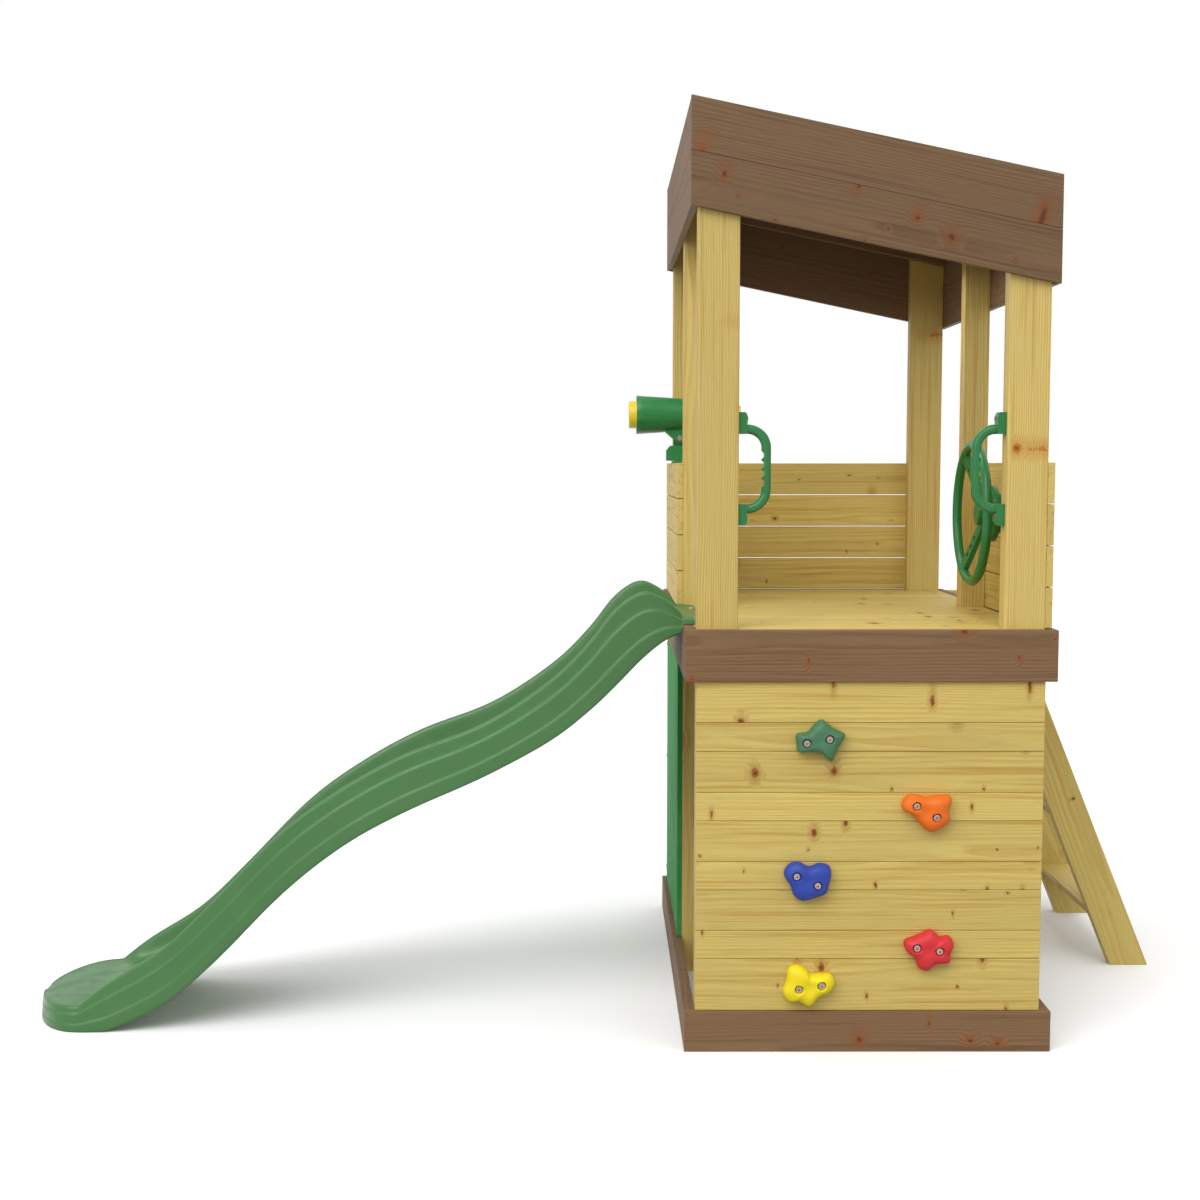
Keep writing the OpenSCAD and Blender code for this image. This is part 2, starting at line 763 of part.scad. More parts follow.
module wheel_base() {
    color(green)
    difference() {
        union() {
            rod_x([base_disc_x, wheel_y, wheel_z], wheel_base_d / 2, base_disc_t);
            rod_x([base_disc_x + base_disc_t - eps, wheel_y, wheel_z], base_neck_d / 2,
                rail_face - base_disc_x - base_disc_t + eps);
        }
        rod_x([base_disc_x - 1, wheel_y, wheel_z], axle_d / 2 + run_fit, 80);
        each_wheel_screw() {
            rod_x([base_disc_x - 1, 0, 0], screw_d / 2 + free_gap, 80);
            rod_x([base_disc_x - 1, 0, 0], screw_d + 1, wheel_seat + 1);
        }
    }
}

module each_wheel_screw() {
    for (a = [45:90:315]) translate([0, wheel_y + 30 * cos(a), wheel_z + 30 * sin(a)]) children();
}

module wheel_screws() {
    color(steel)
    each_wheel_screw() {
        rod_x([base_disc_x + wheel_seat - 3, 0, 0], screw_d, 3);
        rod_x([base_disc_x + wheel_seat - 1, 0, 0], screw_d / 2,
            rail_face - base_disc_x - wheel_seat + 0.7);
    }
}

// The axle bolt runs from its head in the hub, through the base, to a nut behind the rail plank.
module wheel_axle() {
    head_x = hub_x - axle_head_t;
    tail = rail_face + plank_t + 10;
    color(steel) {
        rod_x([head_x, wheel_y, wheel_z], axle_d, axle_head_t - turn_gap);
        rod_x([head_x + 1, wheel_y, wheel_z], axle_d / 2, tail - head_x - 1);
        rod_x([rail_face + plank_t, wheel_y, wheel_z], 13, 2);
        translate([rail_face + plank_t + 2 - eps, wheel_y, wheel_z])
            rotate([0, 90, 0]) cylinder(r = 9.5, h = 7, $fn = 6);
    }
}

spoke_w = 30;
spoke_t = 12;
hub_r = 34;

module steering_wheel() {
    bar_r = (wheel_d - rim_d) / 2;
    rise = hub_x + wheel_hub_t / 2 - wheel_x;
    run = bar_r - hub_r + 6;
    slope = atan(rise / run);
    color(green)
    translate([wheel_x, wheel_y, wheel_z])
    difference() {
        union() {
            rotate([0, 90, 0]) rotate_extrude($fn = 96) translate([bar_r, 0]) circle(d = rim_d);
            translate([rise - wheel_hub_t / 2, 0, 0]) rotate([0, 90, 0])
                cylinder(r = hub_r, h = wheel_hub_t);
            for (a = [30, 150, 270]) rotate([-a, 0, 0]) translate([0, 0, bar_r])
                rotate([0, 180 - slope, 0]) translate([-spoke_t / 2, 0, 0]) difference() {
                    translate([0, -spoke_w / 2, 0]) cube([spoke_t, spoke_w, run / cos(slope)]);
                    for (z = [42, 66, 90]) rod_x([-1, 0, z], 6, spoke_t + 2);
                }
        }
        rod_x([rise - wheel_hub_t / 2 - 20, 0, 0], axle_d / 2 + run_fit, wheel_hub_t + 40);
        rod_x([rise - wheel_hub_t / 2 - 40, 0, 0], hub_r - 6, 40);
    }
}

// Cap over the axle's head, pressed on the rim around the hub's recess.
module wheel_cap() {
    front = hub_x - 14;
    color(green)
    difference() {
        union() {
            rod_x([front, wheel_y, wheel_z], hub_r - 8, 3);
            rod_x([front + 3 - eps, wheel_y, wheel_z], hub_r - 7, hub_x - front - 3);
        }
        rod_x([front + 3, wheel_y, wheel_z], hub_r - 12, 20);
    }
}

module telescope_cleat() {
    color(pine)
    difference() {
        block([x_in, scope_y - cleat_len / 2, rail_top - cleat_h],
            [x_in + cleat_t, scope_y + cleat_len / 2, rail_top]);
        translate([scope_x, scope_y, rail_top - 41]) cylinder(r = swivel_d / 2, h = 42);
    }
}

module telescope_foot() {
    color(green)
    translate([scope_x, scope_y, rail_top])
    difference() {
        linear_extrude(foot_t) offset_box(plank_t + cleat_t, 74, 5);
        translate([0, 0, -1]) cylinder(r = swivel_d / 2 + run_fit, h = foot_t + 2);
        for (s = [-1, 1]) translate([4, s * 30, -1]) cylinder(r = screw_d / 2 + free_gap, h = foot_t + 2);
        for (s = [-1, 1]) translate([4, s * 30, foot_t - 2.6]) cylinder(r = screw_d, h = 4);
    }
}

module telescope_screws() {
    color(steel)
    for (s = [-1, 1]) translate([scope_x + 4, scope_y + s * 30, rail_top]) {
        translate([0, 0, 0.3]) cylinder(r = screw_d / 2, h = foot_t - 1);
        translate([0, 0, foot_t - 2.6]) cylinder(r = screw_d - 0.5, h = 2.4);
    }
}

// Swivel bracket: a block with chamfered shoulders, and a tongue that carries the tilt bolt.
module telescope_bracket() {
    low = foot_t + turn_gap;
    half = bracket_w / 2;
    color(green)
    translate([scope_x, scope_y, rail_top])
    difference() {
        union() {
            translate([0, 24, 0]) rotate([90, 0, 0]) linear_extrude(48) polygon([
                [-half, low], [half, low], [half, bracket_h - 12], [half - 10, bracket_h],
                [-half + 10, bracket_h], [-half, bracket_h - 12]
            ]);
            translate([-16, -tongue_t / 2, bracket_h - 6]) cube([32, tongue_t, tilt_rise - bracket_h + 6]);
            rod_y([0, -tongue_t / 2, tilt_rise], 16, tongue_t);
        }
        translate([0, 0, low - 1]) cylinder(r = swivel_d / 2 + run_fit, h = 14);
        translate([0, 0, low + 9]) cylinder(r = swivel_d + 1, h = 12);
        rod_y([0, -30, tilt_rise], tilt_bolt_d / 2 + run_fit, 60);
    }
}

module swivel_bolt() {
    color(steel)
    translate([scope_x, scope_y, rail_top]) {
        translate([0, 0, -40]) cylinder(r = swivel_d / 2 - 0.02, h = 40 + foot_t + turn_gap + 9 + turn_gap);
        translate([0, 0, foot_t + 2 * turn_gap + 9]) cylinder(r = swivel_d, h = 6);
    }
}

module tilt_bolt() {
    reach = tongue_t / 2 + turn_gap + cheek_t;
    color(steel)
    translate([scope_x, scope_y, tilt_z]) {
        rod_y([0, -reach - 1, 0], tilt_bolt_d / 2, 2 * reach + 2);
        rod_y([0, -reach - 5, 0], 7, 5);
        translate([0, reach, 0]) rotate([-90, 0, 0]) cylinder(r = 7.4, h = 6.5, $fn = 6);
    }
}

// Radius of the barrel at a distance x from the tilt bolt, along the barrel.
barrel_back = 84;
barrel_back_r = 38;
barrel_wall = 4;
function barrel_r(x) = scope_r + (barrel_back_r - scope_r) * (x + scope_front) / (barrel_back + scope_front);

module telescope_tube() {
    drop = scope_rise - tilt_rise;
    inner = tongue_t / 2 + turn_gap;
    color(green)
    translate([scope_x, scope_y, tilt_z])
    difference() {
        union() {
            translate([-scope_front, 0, drop]) rotate([0, 90, 0])
                cylinder(r1 = scope_r, r2 = barrel_back_r, h = scope_front + barrel_back);
            translate([barrel_back - eps, 0, drop]) rotate([0, 90, 0])
                cylinder(r = 29, h = 24);
            for (s = [0, 1]) mirror([0, s, 0]) translate([0, inner + cheek_t, 0])
                rotate([90, 0, 0]) linear_extrude(cheek_t) {
                    polygon([[-38, drop - 36], [-38, 17], [-11, -7], [11, -7], [38, 17], [38, drop - 36]]);
                    circle(r = tongue_r);
                }
        }
        translate([-scope_front - 1, 0, drop]) rotate([0, 90, 0]) cylinder(r = scope_r - 7, h = 13);
        translate([-scope_front + 11, 0, drop]) rotate([0, 90, 0])
            cylinder(r1 = scope_r - 7, r2 = 22.5, h = scope_front + barrel_back - 11);
        translate([0, 0, drop]) rod_x([barrel_back - 1, 0, 0], 22 + run_fit, 40);
        rod_y([0, -40, 0], tilt_bolt_d / 2 + run_fit, 80);
    }
}

// Yellow ring in the barrel's front end, with a lip that stands out of it.
ring_out = 20;
ring_r = 36;

module telescope_ring() {
    color("gold")
    translate([scope_x - scope_front, scope_y, axis_z]) rotate([0, 90, 0])
    difference() {
        union() {
            translate([0, 0, -ring_out]) cylinder(r = ring_r, h = ring_out + 10);
            translate([0, 0, 2]) cylinder(r = scope_r - 7 - run_fit, h = 8);
        }
        translate([0, 0, -ring_out - 1]) cylinder(r = ring_r - 5, h = ring_out + 12);
    }
}

module telescope_eyepiece() {
    color("gold")
    translate([scope_x + barrel_back + 4, scope_y, axis_z]) rotate([0, 90, 0])
    difference() {
        union() {
            cylinder(r = 22, h = scope_back - barrel_back - 4);
            translate([0, 0, 20]) cylinder(r = 29, h = 5);
            translate([0, 0, scope_back - barrel_back - 4 - 10]) cylinder(r = 25, h = 10);
        }
        translate([0, 0, -1]) cylinder(r = 17, h = scope_back);
    }
}

module telescope_lenses() {
    color("lightblue") {
        rod_x([scope_x - scope_front - 8, scope_y, axis_z], ring_r - 5 - run_fit, 3);
        rod_x([scope_x + scope_back - 8, scope_y, axis_z], 17 - run_fit, 3);
    }
}

place() base_board("front");  // base_board_front
place() base_board("back");  // base_board_back
place() base_board("left");  // base_board_left
place() base_board("right");  // base_board_right
place() post_at(0);  // post_front_left
place() post_at(1);  // post_front_right
place() post_at(2);  // post_mid_left
place() post_at(3);  // post_mid_right
place() post_at(4);  // post_back_left
place() post_at(5);  // post_back_right
place() climbing_planks();
place() hold(0);  // hold_dark_green
place() hold(1);  // hold_orange
place() hold(2);  // hold_blue
place() hold(3);  // hold_red
place() hold(4);  // hold_yellow
place() hold_bolts();
place() hold_tee_nuts();
place() deck_fascia("front");  // deck_fascia_front
place() deck_fascia("back");  // deck_fascia_back
place() deck_fascia("left");  // deck_fascia_left
place() deck_fascia("right");  // deck_fascia_right
place() deck_joists();
place() joist_bolts();
place() deck_boards();
place() rail_planks_back();
place() rail_planks_left();
place() rail_planks_right();
place() sloping_fascia(y_in - roof_t);  // roof_fascia_front
place() sloping_fascia(y_out);  // roof_fascia_back
place() roof_fascia_left();
place() roof_fascia_right();
place() roof_rafters();
place() roof_boards();
place() ladder_stringer_near();
place() ladder_stringer_far();
place() ladder_treads();
place() slide();
place() slide_bolts();
place() chalkboard();
place() chalkboard_screws();
place() color(green) at_grip(0) grip();  // grip_left
place() color(green) at_grip(1) grip();  // grip_right
place() grip_screws();
place() wheel_base();
place() steering_wheel();
place() wheel_axle();
place() wheel_cap();
place() wheel_screws();
place() telescope_cleat();
place() telescope_foot();
place() telescope_bracket();
place() telescope_tube();
place() telescope_ring();
place() telescope_eyepiece();
place() telescope_lenses();
place() tilt_bolt();
place() swivel_bolt();
place() telescope_screws();
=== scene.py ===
"""Looks of the timber play tower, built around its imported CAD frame.

Every size is in millimetres from the front left bottom corner of the sand frame, with X to the
ladder side, Y to the back and Z up. `row` turns such a point into metres in the row frame.
"""

from __future__ import annotations

import logging
import math
import random
from dataclasses import dataclass, field
from enum import Enum
from typing import Sequence

import bmesh
import bpy
from mathutils import Matrix, Vector

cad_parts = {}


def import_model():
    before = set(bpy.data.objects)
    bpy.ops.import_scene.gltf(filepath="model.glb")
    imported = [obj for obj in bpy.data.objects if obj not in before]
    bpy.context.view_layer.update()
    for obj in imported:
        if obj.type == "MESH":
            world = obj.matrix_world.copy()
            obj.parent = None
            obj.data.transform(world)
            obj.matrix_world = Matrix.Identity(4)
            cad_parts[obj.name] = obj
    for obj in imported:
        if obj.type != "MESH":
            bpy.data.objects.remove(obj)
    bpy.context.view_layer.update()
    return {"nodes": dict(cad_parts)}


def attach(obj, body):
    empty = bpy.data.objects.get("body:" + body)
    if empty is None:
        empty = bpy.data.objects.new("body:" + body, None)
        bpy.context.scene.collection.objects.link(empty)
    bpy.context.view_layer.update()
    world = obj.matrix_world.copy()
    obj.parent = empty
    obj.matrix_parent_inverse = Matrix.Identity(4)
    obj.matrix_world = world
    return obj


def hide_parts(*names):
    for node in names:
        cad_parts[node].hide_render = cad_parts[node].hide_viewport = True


LOG = logging.getLogger("play_tower")
Point = tuple[float, float, float]
Flat = tuple[float, float]

# ---------------------------------------------------------------- sizes


@dataclass(frozen=True)
class Plan:
    """Sizes of the tower that more than one piece needs, in millimetres."""

    width: float = 804.0
    depth: float = 1221.0
    deck: float = 930.0
    board: float = 24.0
    base_height: float = 90.0
    fascia_height: float = 112.0
    plank: float = 15.0
    post_width: float = 90.0
    mid_post_width: float = 62.0
    post_depth: float = 45.0
    gap: float = 2.0
    rail_height: float = 360.0
    roof_top: float = 2062.0
    roof_fall: float = 165.0
    roof_board: float = 16.0
    roof_plank: float = 111.0
    roof_drop: float = 18.0
    seat: float = 0.05

    @property
    def x_in(self) -> float:
        """Inner face of the left boards."""
        return self.board

    @property
    def x_out(self) -> float:
        """Inner face of the right boards."""
        return self.width - self.board

    @property
    def y_in(self) -> float:
        """Inner face of the front boards."""
        return self.board

    @property
    def y_out(self) -> float:
        """Inner face of the back boards."""
        return self.depth - self.board

    @property
    def y_mid(self) -> float:
        """Front face of the middle posts."""
        return (self.depth - self.post_depth) / 2

    @property
    def fascia_low(self) -> float:
        """Lower edge of the deck's fascias."""
        return self.deck - self.fascia_height

    @property
    def roof_x0(self) -> float:
        """Left end of the roof."""
        return self.board - self.roof_board

    @property
    def roof_x1(self) -> float:
        """Right end of the roof."""
        return self.width - self.roof_x0

    @property
    def roof_slope(self) -> float:
        """Fall of the roof for each millimetre of X."""
        return self.roof_fall / (self.roof_x1 - self.roof_x0)

    @property
    def roof_plumb(self) -> float:
        """Upright height of one sloping fascia board."""
        return self.roof_plank * math.hypot(1.0, self.roof_slope)

    @property
    def roof_under(self) -> float:
        """Depth of the roof boards' underside below the fascias' top edge."""
        return self.roof_drop + self.roof_board * math.hypot(1.0, self.roof_slope) + self.seat

    @property
    def slide_y(self) -> float:
        """Middle of the slide, between the front and middle posts."""
        return (self.y_in + self.post_depth + self.y_mid) / 2

    def roof_z(self, x: float) -> float:
        """Height of the roof fascias' top edge at x."""
        return self.roof_top - (x - self.roof_x0) * self.roof_slope


PLAN = Plan()


def row(x: float, y: float, z: float) -> Vector:
    """A point of the plan, in metres in the row frame."""
    return Vector(((x - PLAN.width / 2) / 1000, (y - PLAN.board / 2) / 1000, z / 1000))


# ---------------------------------------------------------------- colours and nodes


def srgb(code: str) -> tuple[float, float, float, float]:
    """A six-digit sRGB colour as linear light.

    Args:
        code: the colour, as in "D3BD7F".

    Returns:
        Linear red, green and blue, and full opacity.
    """
    parts = (int(code[i : i + 2], 16) / 255 for i in (0, 2, 4))
    linear = [c / 12.92 if c <= 0.04045 else ((c + 0.055) / 1.055) ** 2.4 for c in parts]
    return (*linear, 1.0)


def per_mm(size: float) -> float:
    """Scale of a pattern in object space that repeats every `size` millimetres."""
    return 1000.0 / size


class Tree:
    """The node tree of a material or a world, with one way to add a node."""

    def __init__(self, owner: bpy.types.Material | bpy.types.World,
                 output: str = "OutputMaterial") -> None:
        """Empties the owner's tree, but for its output.

        Args:
            owner: the material or world.
            output: type of the output node, without "ShaderNode".
        """
        self.owner = owner
        owner.use_nodes = True
        self.nodes = owner.node_tree.nodes
        self.links = owner.node_tree.links
        self.nodes.clear()
        self.output = self.nodes.new("ShaderNode" + output)

    def add(self, kind: str, *values, sockets: dict | None = None, out: int | str = 0,
            **settings) -> bpy.types.NodeSocket:
        """Adds one node.

        Args:
            kind: the node's type, without "ShaderNode".
            *values: values or other nodes' outputs for the first sockets, in order.
            sockets: values or outputs for other sockets, by name or number.
            out: the output to return.
            **settings: the node's own properties.

        Returns:
            The chosen output socket.
        """
        node = self.nodes.new("ShaderNode" + kind)
        for key, value in settings.items():
            setattr(node, key, value)
        for key, value in [*enumerate(values), *(sockets or {}).items()]:
            if isinstance(value, bpy.types.NodeSocket):
                self.links.new(value, node.inputs[key])
            else:
                node.inputs[key].default_value = value
        return node.outputs[out]

    def end(self, shader: bpy.types.NodeSocket) -> bpy.types.Material | bpy.types.World:
        """Joins the shader to the output and returns the finished owner."""
        self.links.new(shader, self.output.inputs["Surface"])
        return self.owner


SMOOTH = {"interpolation_type": "SMOOTHSTEP"}
BLEND = {"data_type": "RGBA", "out": 2}

# ---------------------------------------------------------------- finishes


@dataclass(frozen=True)
class WoodFinish:
    """Planed softwood: soft rings, long streaks and knots that run out from the pith."""

    name: str
    slot: str
    early: str
    late: str
    knot: str
    heart: str
    ring: float = 5.5
    contrast: float = 0.4
    streaks: float = 0.45
    knots: float = 0.7
    knot_size: float = 1.0
    knot_spacing: float = 105.0
    knot_turn: float = 0.45
    roughness: float = 0.55
    spread: float = 0.08

    def build(self) -> bpy.types.Material:
        """Builds the grain in each board's own millimetres, along X of its grain attribute.

        Returns:
            The finished material.
        """
        t = Tree(bpy.data.materials.new(self.name))
        grain = t.add("Attribute", out="Vector", attribute_name="grain")
        tone = t.add("Attribute", out="Fac", attribute_name="tone")
        slow = t.add("VectorMath", grain, (0.0016, 0.011, 0.011), operation="MULTIPLY")
        drift = {"Vector": slow, "Scale": 1.0, "Detail": 2.0}
        wander = t.add("TexNoise", sockets=drift, out="Color")
        swing, centre = (0.0, 24.0, 24.0), (0.0, -12.0, -12.0)
        shift = t.add("VectorMath", wander, swing, centre, operation="MULTIPLY_ADD")
        x = t.add("SeparateXYZ", t.add("VectorMath", grain, shift, operation="ADD"))
        y, z = x.node.outputs[1], x.node.outputs[2]
        away = t.add("VectorMath", t.add("CombineXYZ", 0.0, y, z), operation="LENGTH", out="Value")
        # A knot has one place along the pith and round it, so it shows on every face it crosses.
        ragged = t.add("TexNoise", sockets={"Vector": grain, "Scale": 0.13, "Detail": 2.0})
        jog = t.add("Math", ragged, 0.07 * self.knot_size, operation="MULTIPLY")
        along = t.add("Math", x, 1.0 / self.knot_spacing, jog, operation="MULTIPLY_ADD")
        angle = t.add("Math", z, y, operation="ARCTAN2")
        around = t.add("Math", angle, self.knot_turn, jog, operation="MULTIPLY_ADD")
        cells = t.add("CombineXYZ", along, around, 0.0)
        spots = {"Vector": cells, "Scale": 1.0}
        reach = t.add("TexVoronoi", sockets=spots, voronoi_dimensions="2D")
        chance = t.add("SeparateColor", reach.node.outputs["Color"])
        size = t.add("Math", chance.node.outputs[1], 2.2, operation="POWER")
        held = t.add("Math", chance, 1.0 - self.knots, operation="GREATER_THAN")
        widest, least = 0.062 * self.knot_size, 0.02 * self.knot_size
        radius = t.add("Math", size, widest, least, operation="MULTIPLY_ADD")
        near = t.add("Math", reach, radius, operation="DIVIDE")
        shapes = []
        for edge, full in ((1.12, 0.88), (0.72, 0.25), (3.4, 0.9)):
            shape = t.add("MapRange", near, edge, full, 0.0, 1.0, **SMOOTH)
            shapes.append(t.add("Math", shape, held, operation="MULTIPLY"))
        inside, core, halo = shapes
        # Growth rings lie round a pith beside the board, and bend aside at the knots.
        pushed = t.add("Math", halo, 6.0, away, operation="MULTIPLY_ADD")
        turns = t.add("Math", pushed, 1.0 / self.ring, operation="MULTIPLY")
        saw = t.add("Math", turns, operation="FRACT")
        rise = t.add("MapRange", saw, 0.2, 0.86, 0.0, 1.0, **SMOOTH)
        fall = t.add("MapRange", saw, 1.0, 0.9, 0.0, 1.0, **SMOOTH)
        late = t.add("Math", rise, fall, operation="MULTIPLY")
        noises = []
        stretches = (
            ((0.02, 0.9, 0.9), 3.0), ((0.004, 0.02, 0.02), 2.0), ((0.0022, 0.085, 0.085), 2.0),
        )
        for stretch, detail in stretches:
            at = t.add("VectorMath", grain, stretch, operation="MULTIPLY")
            noises.append(t.add("TexNoise", sockets={"Vector": at, "Scale": 1.0, "Detail": detail}))
        fibre, cloud, streak = noises
        patch = t.add("MapRange", cloud, 0.3, 0.7, 0.3, 1.0, **SMOOTH)
        weight = t.add("Math", late, patch, operation="MULTIPLY")
        amount = t.add("Math", weight, self.contrast, operation="MULTIPLY")
        colour = t.add("Mix", sockets={0: amount, 6: srgb(self.early), 7: srgb(self.late)}, **BLEND)
        layers = (
            (t.add("MapRange", fibre, 0.35, 0.75, 0.0, 0.25, **SMOOTH), self.late),
            (t.add("MapRange", streak, 0.52, 0.72, 0.0, self.streaks, **SMOOTH), self.late),
            (t.add("Math", halo, 0.38, operation="MULTIPLY"), self.knot),
            (t.add("Math", inside, 0.85, operation="MULTIPLY"), self.knot),
            (t.add("Math", core, 0.75, operation="MULTIPLY"), self.heart),
        )
        for share, code in layers:
            colour = t.add("Mix", sockets={0: share, 6: colour, 7: srgb(code)}, **BLEND)
        light = t.add("Math", tone, self.spread, 1.0, operation="MULTIPLY_ADD")
        veil = t.add("MapRange", cloud, 0.2, 0.8, 0.93, 1.05, **SMOOTH)
        cloudy = t.add("Math", light, veil, operation="MULTIPLY")
        grey = t.add("CombineColor", cloudy, cloudy, cloudy)
        colour = t.add("Mix", sockets={0: 1.0, 6: colour, 7: grey}, blend_type="MULTIPLY", **BLEND)
        relief = t.add("Math", fibre, 0.6, operation="MULTIPLY")
        height = t.add("Math", weight, -0.35, relief, operation="MULTIPLY_ADD")
        bump = t.add("Bump", sockets={"Strength": 0.35, "Distance": 0.0004, "Height": height})
        sheen = (self.roughness - 0.05, self.roughness + 0.12)
        rough = t.add("MapRange", fibre, 0.3, 0.8, *sheen, **SMOOTH)
        return t.end(t.add("BsdfPrincipled", sockets={
            "Base Color": colour, "Roughness": rough, "Normal": bump, "IOR": 1.4}))


@dataclass(frozen=True)
class PlasticFinish:
    """Moulded polyethylene or resin with a fine skin and faint handling marks."""

    name: str
    slot: str
    colour: str
    dark: str
    roughness: float = 0.34
    grit: float = 0.08
    grit_size: float = 1.4

    def build(self) -> bpy.types.Material:
        """Builds the cloudy colour, the skin's texture and a few soft rubs.

        Returns:
            The finished material.
        """
        t = Tree(bpy.data.materials.new(self.name))
        at = t.add("TexCoord", out="Object")
        noises = []
        for size, detail in ((170.0, 3.0), (0.9, 1.0), (self.grit_size, 2.0), (38.0, 5.0)):
            sockets = {"Vector": at, "Scale": per_mm(size), "Detail": detail}
            noises.append(t.add("TexNoise", sockets=sockets))
        cloud, speck, skin, rub = noises
        shade = t.add("MapRange", cloud, 0.3, 0.75, 0.0, 0.4, **SMOOTH)
        colour = t.add("Mix", sockets={0: shade, 6: srgb(self.colour), 7: srgb(self.dark)}, **BLEND)
        fleck = t.add("MapRange", speck, 0.62, 0.8, 0.0, 0.18, **SMOOTH)
        colour = t.add("Mix", sockets={0: fleck, 6: colour, 7: srgb(self.dark)}, **BLEND)
        sheen = (self.roughness - 0.05, self.roughness + 0.1)
        rough = t.add("MapRange", rub, 0.4, 0.7, *sheen, **SMOOTH)
        bump = t.add("Bump", sockets={"Strength": self.grit, "Distance": 0.0003, "Height": skin})
        return t.end(t.add("BsdfPrincipled", sockets={
            "Base Color": colour, "Roughness": rough, "Normal": bump, "IOR": 1.45}))


@dataclass(frozen=True)
class SteelFinish:
    """Zinc plated fixings, with the plating's faint warm mottling."""

    name: str = "zinc_plated_steel"
    slot: str = "steel"

    def build(self) -> bpy.types.Material:
        """Builds brushed, slightly mottled plating.

        Returns:
            The finished material.
        """
        t = Tree(bpy.data.materials.new(self.name))
        at = t.add("TexCoord", out="Object")
        mottle = t.add("TexNoise", sockets={"Vector": at, "Scale": per_mm(3.0), "Detail": 3.0})
        scratch = t.add("TexNoise", sockets={"Vector": at, "Scale": per_mm(0.5), "Detail": 2.0})
        patch = t.add("MapRange", mottle, 0.35, 0.7, 0.0, 1.0, **SMOOTH)
        colour = t.add("Mix", sockets={0: patch, 6: srgb("B9A79B"), 7: srgb("8E7B74")}, **BLEND)
        bump = t.add("Bump", sockets={"Strength": 0.15, "Distance": 0.0001, "Height": scratch})
        rough = t.add("MapRange", mottle, 0.3, 0.7, 0.3, 0.48, **SMOOTH)
        return t.end(t.add("BsdfPrincipled", sockets={
            "Base Color": colour, "Metallic": 1.0, "Roughness": rough, "Normal": bump}))


@dataclass(frozen=True)
class ChalkFinish:
    """Green chalkboard paint rolled on plywood, with wiped chalk dust."""

    name: str = "green_chalkboard_paint"
    slot: str = "chalk_paint"

    def build(self) -> bpy.types.Material:
        """Builds rolled paint under a thin, uneven film of dust.

        Returns:
            The finished material.
        """
        t = Tree(bpy.data.materials.new(self.name))
        at = t.add("TexCoord", out="Object")
        wiped = t.add("VectorMath", at, (1.0, 0.35, 1.0), operation="MULTIPLY")
        dust = t.add("TexNoise", sockets={"Vector": wiped, "Scale": per_mm(120), "Detail": 5.0})
        nap = t.add("TexNoise", sockets={"Vector": at, "Scale": per_mm(2.2), "Detail": 2.0})
        film = t.add("MapRange", dust, 0.42, 0.75, 0.0, 0.14, **SMOOTH)
        colour = t.add("Mix", sockets={0: film, 6: srgb("2C8A3E"), 7: srgb("8FB79C")}, **BLEND)
        bump = t.add("Bump", sockets={"Strength": 0.2, "Distance": 0.0003, "Height": nap})
        return t.end(t.add("BsdfPrincipled", sockets={
            "Base Color": colour, "Roughness": 0.72, "Normal": bump, "Specular IOR Level": 0.25}))


@dataclass(frozen=True)
class LensFinish:
    """Clear acrylic lens."""

    name: str = "acrylic_lens"
    slot: str = "lens"

    def build(self) -> bpy.types.Material:
        """Builds dark, smooth acrylic with a faint bloom.

        Returns:
            The finished material.
        """
        t = Tree(bpy.data.materials.new(self.name))
        at = t.add("TexCoord", out="Object")
        haze = t.add("TexNoise", sockets={"Vector": at, "Scale": per_mm(14)})
        patch = t.add("MapRange", haze, 0.3, 0.7, 0.0, 1.0, **SMOOTH)
        colour = t.add("Mix", sockets={0: patch, 6: srgb("1E2A2E"), 7: srgb("2C3C40")}, **BLEND)
        rough = t.add("MapRange", haze, 0.3, 0.8, 0.04, 0.12, **SMOOTH)
        return t.end(t.add("BsdfPrincipled", sockets={
            "Base Color": colour, "Roughness": rough, "IOR": 1.49}))


class Finish(Enum):
    """Every finish of the tower."""

    PINE = WoodFinish("treated_pine", "pine", "CDB869", "A67822", "8E4E10", "43200A")
    POST = WoodFinish(
        "treated_pine_post", "pine", "CBB56B", "A47A2C", "A8660F", "6A3808",
        contrast=0.55, streaks=0.42, knots=0.85, knot_size=0.72, knot_spacing=250.0,
        knot_turn=0.34,
    )
    STAIN = WoodFinish(
        "brown_stained_pine", "stained_pine", "7E6041", "553A24", "85481A", "3E2210",
        contrast=0.5, streaks=0.45, roughness=0.6, spread=0.05, knots=0.85, knot_size=1.2,
        knot_spacing=125.0,
    )
    SLIDE = PlasticFinish("slide_polyethylene", "slide_plastic", "41703C", "386636", 0.34, 0.1, 1.8)
    FITTING = PlasticFinish("fitting_polyethylene", "green_plastic", "24743A", "1D6531", 0.32)
    YELLOW = PlasticFinish("yellow_polyethylene", "yellow_plastic", "DFC21A", "CBA810", 0.3)
    HOLD_DARK_GREEN = PlasticFinish(
        "dark_green_hold_resin", "hold_dark_green", "40714F", "366345", 0.5, 0.5)
    HOLD_ORANGE = PlasticFinish("orange_hold_resin", "hold_orange", "E36A08", "D25E06", 0.5, 0.5)
    HOLD_BLUE = PlasticFinish("blue_hold_resin", "hold_blue", "24409E", "1F378C", 0.5, 0.5)
    HOLD_RED = PlasticFinish("red_hold_resin", "hold_red", "CE2A30", "BE222A", 0.5, 0.5)
    HOLD_YELLOW = PlasticFinish("yellow_hold_resin", "hold_yellow", "E6D20A", "D8C206", 0.5, 0.5)
    STEEL = SteelFinish()
    CHALK = ChalkFinish()
    LENS = LensFinish()


_built: dict[str, bpy.types.Material] = {}


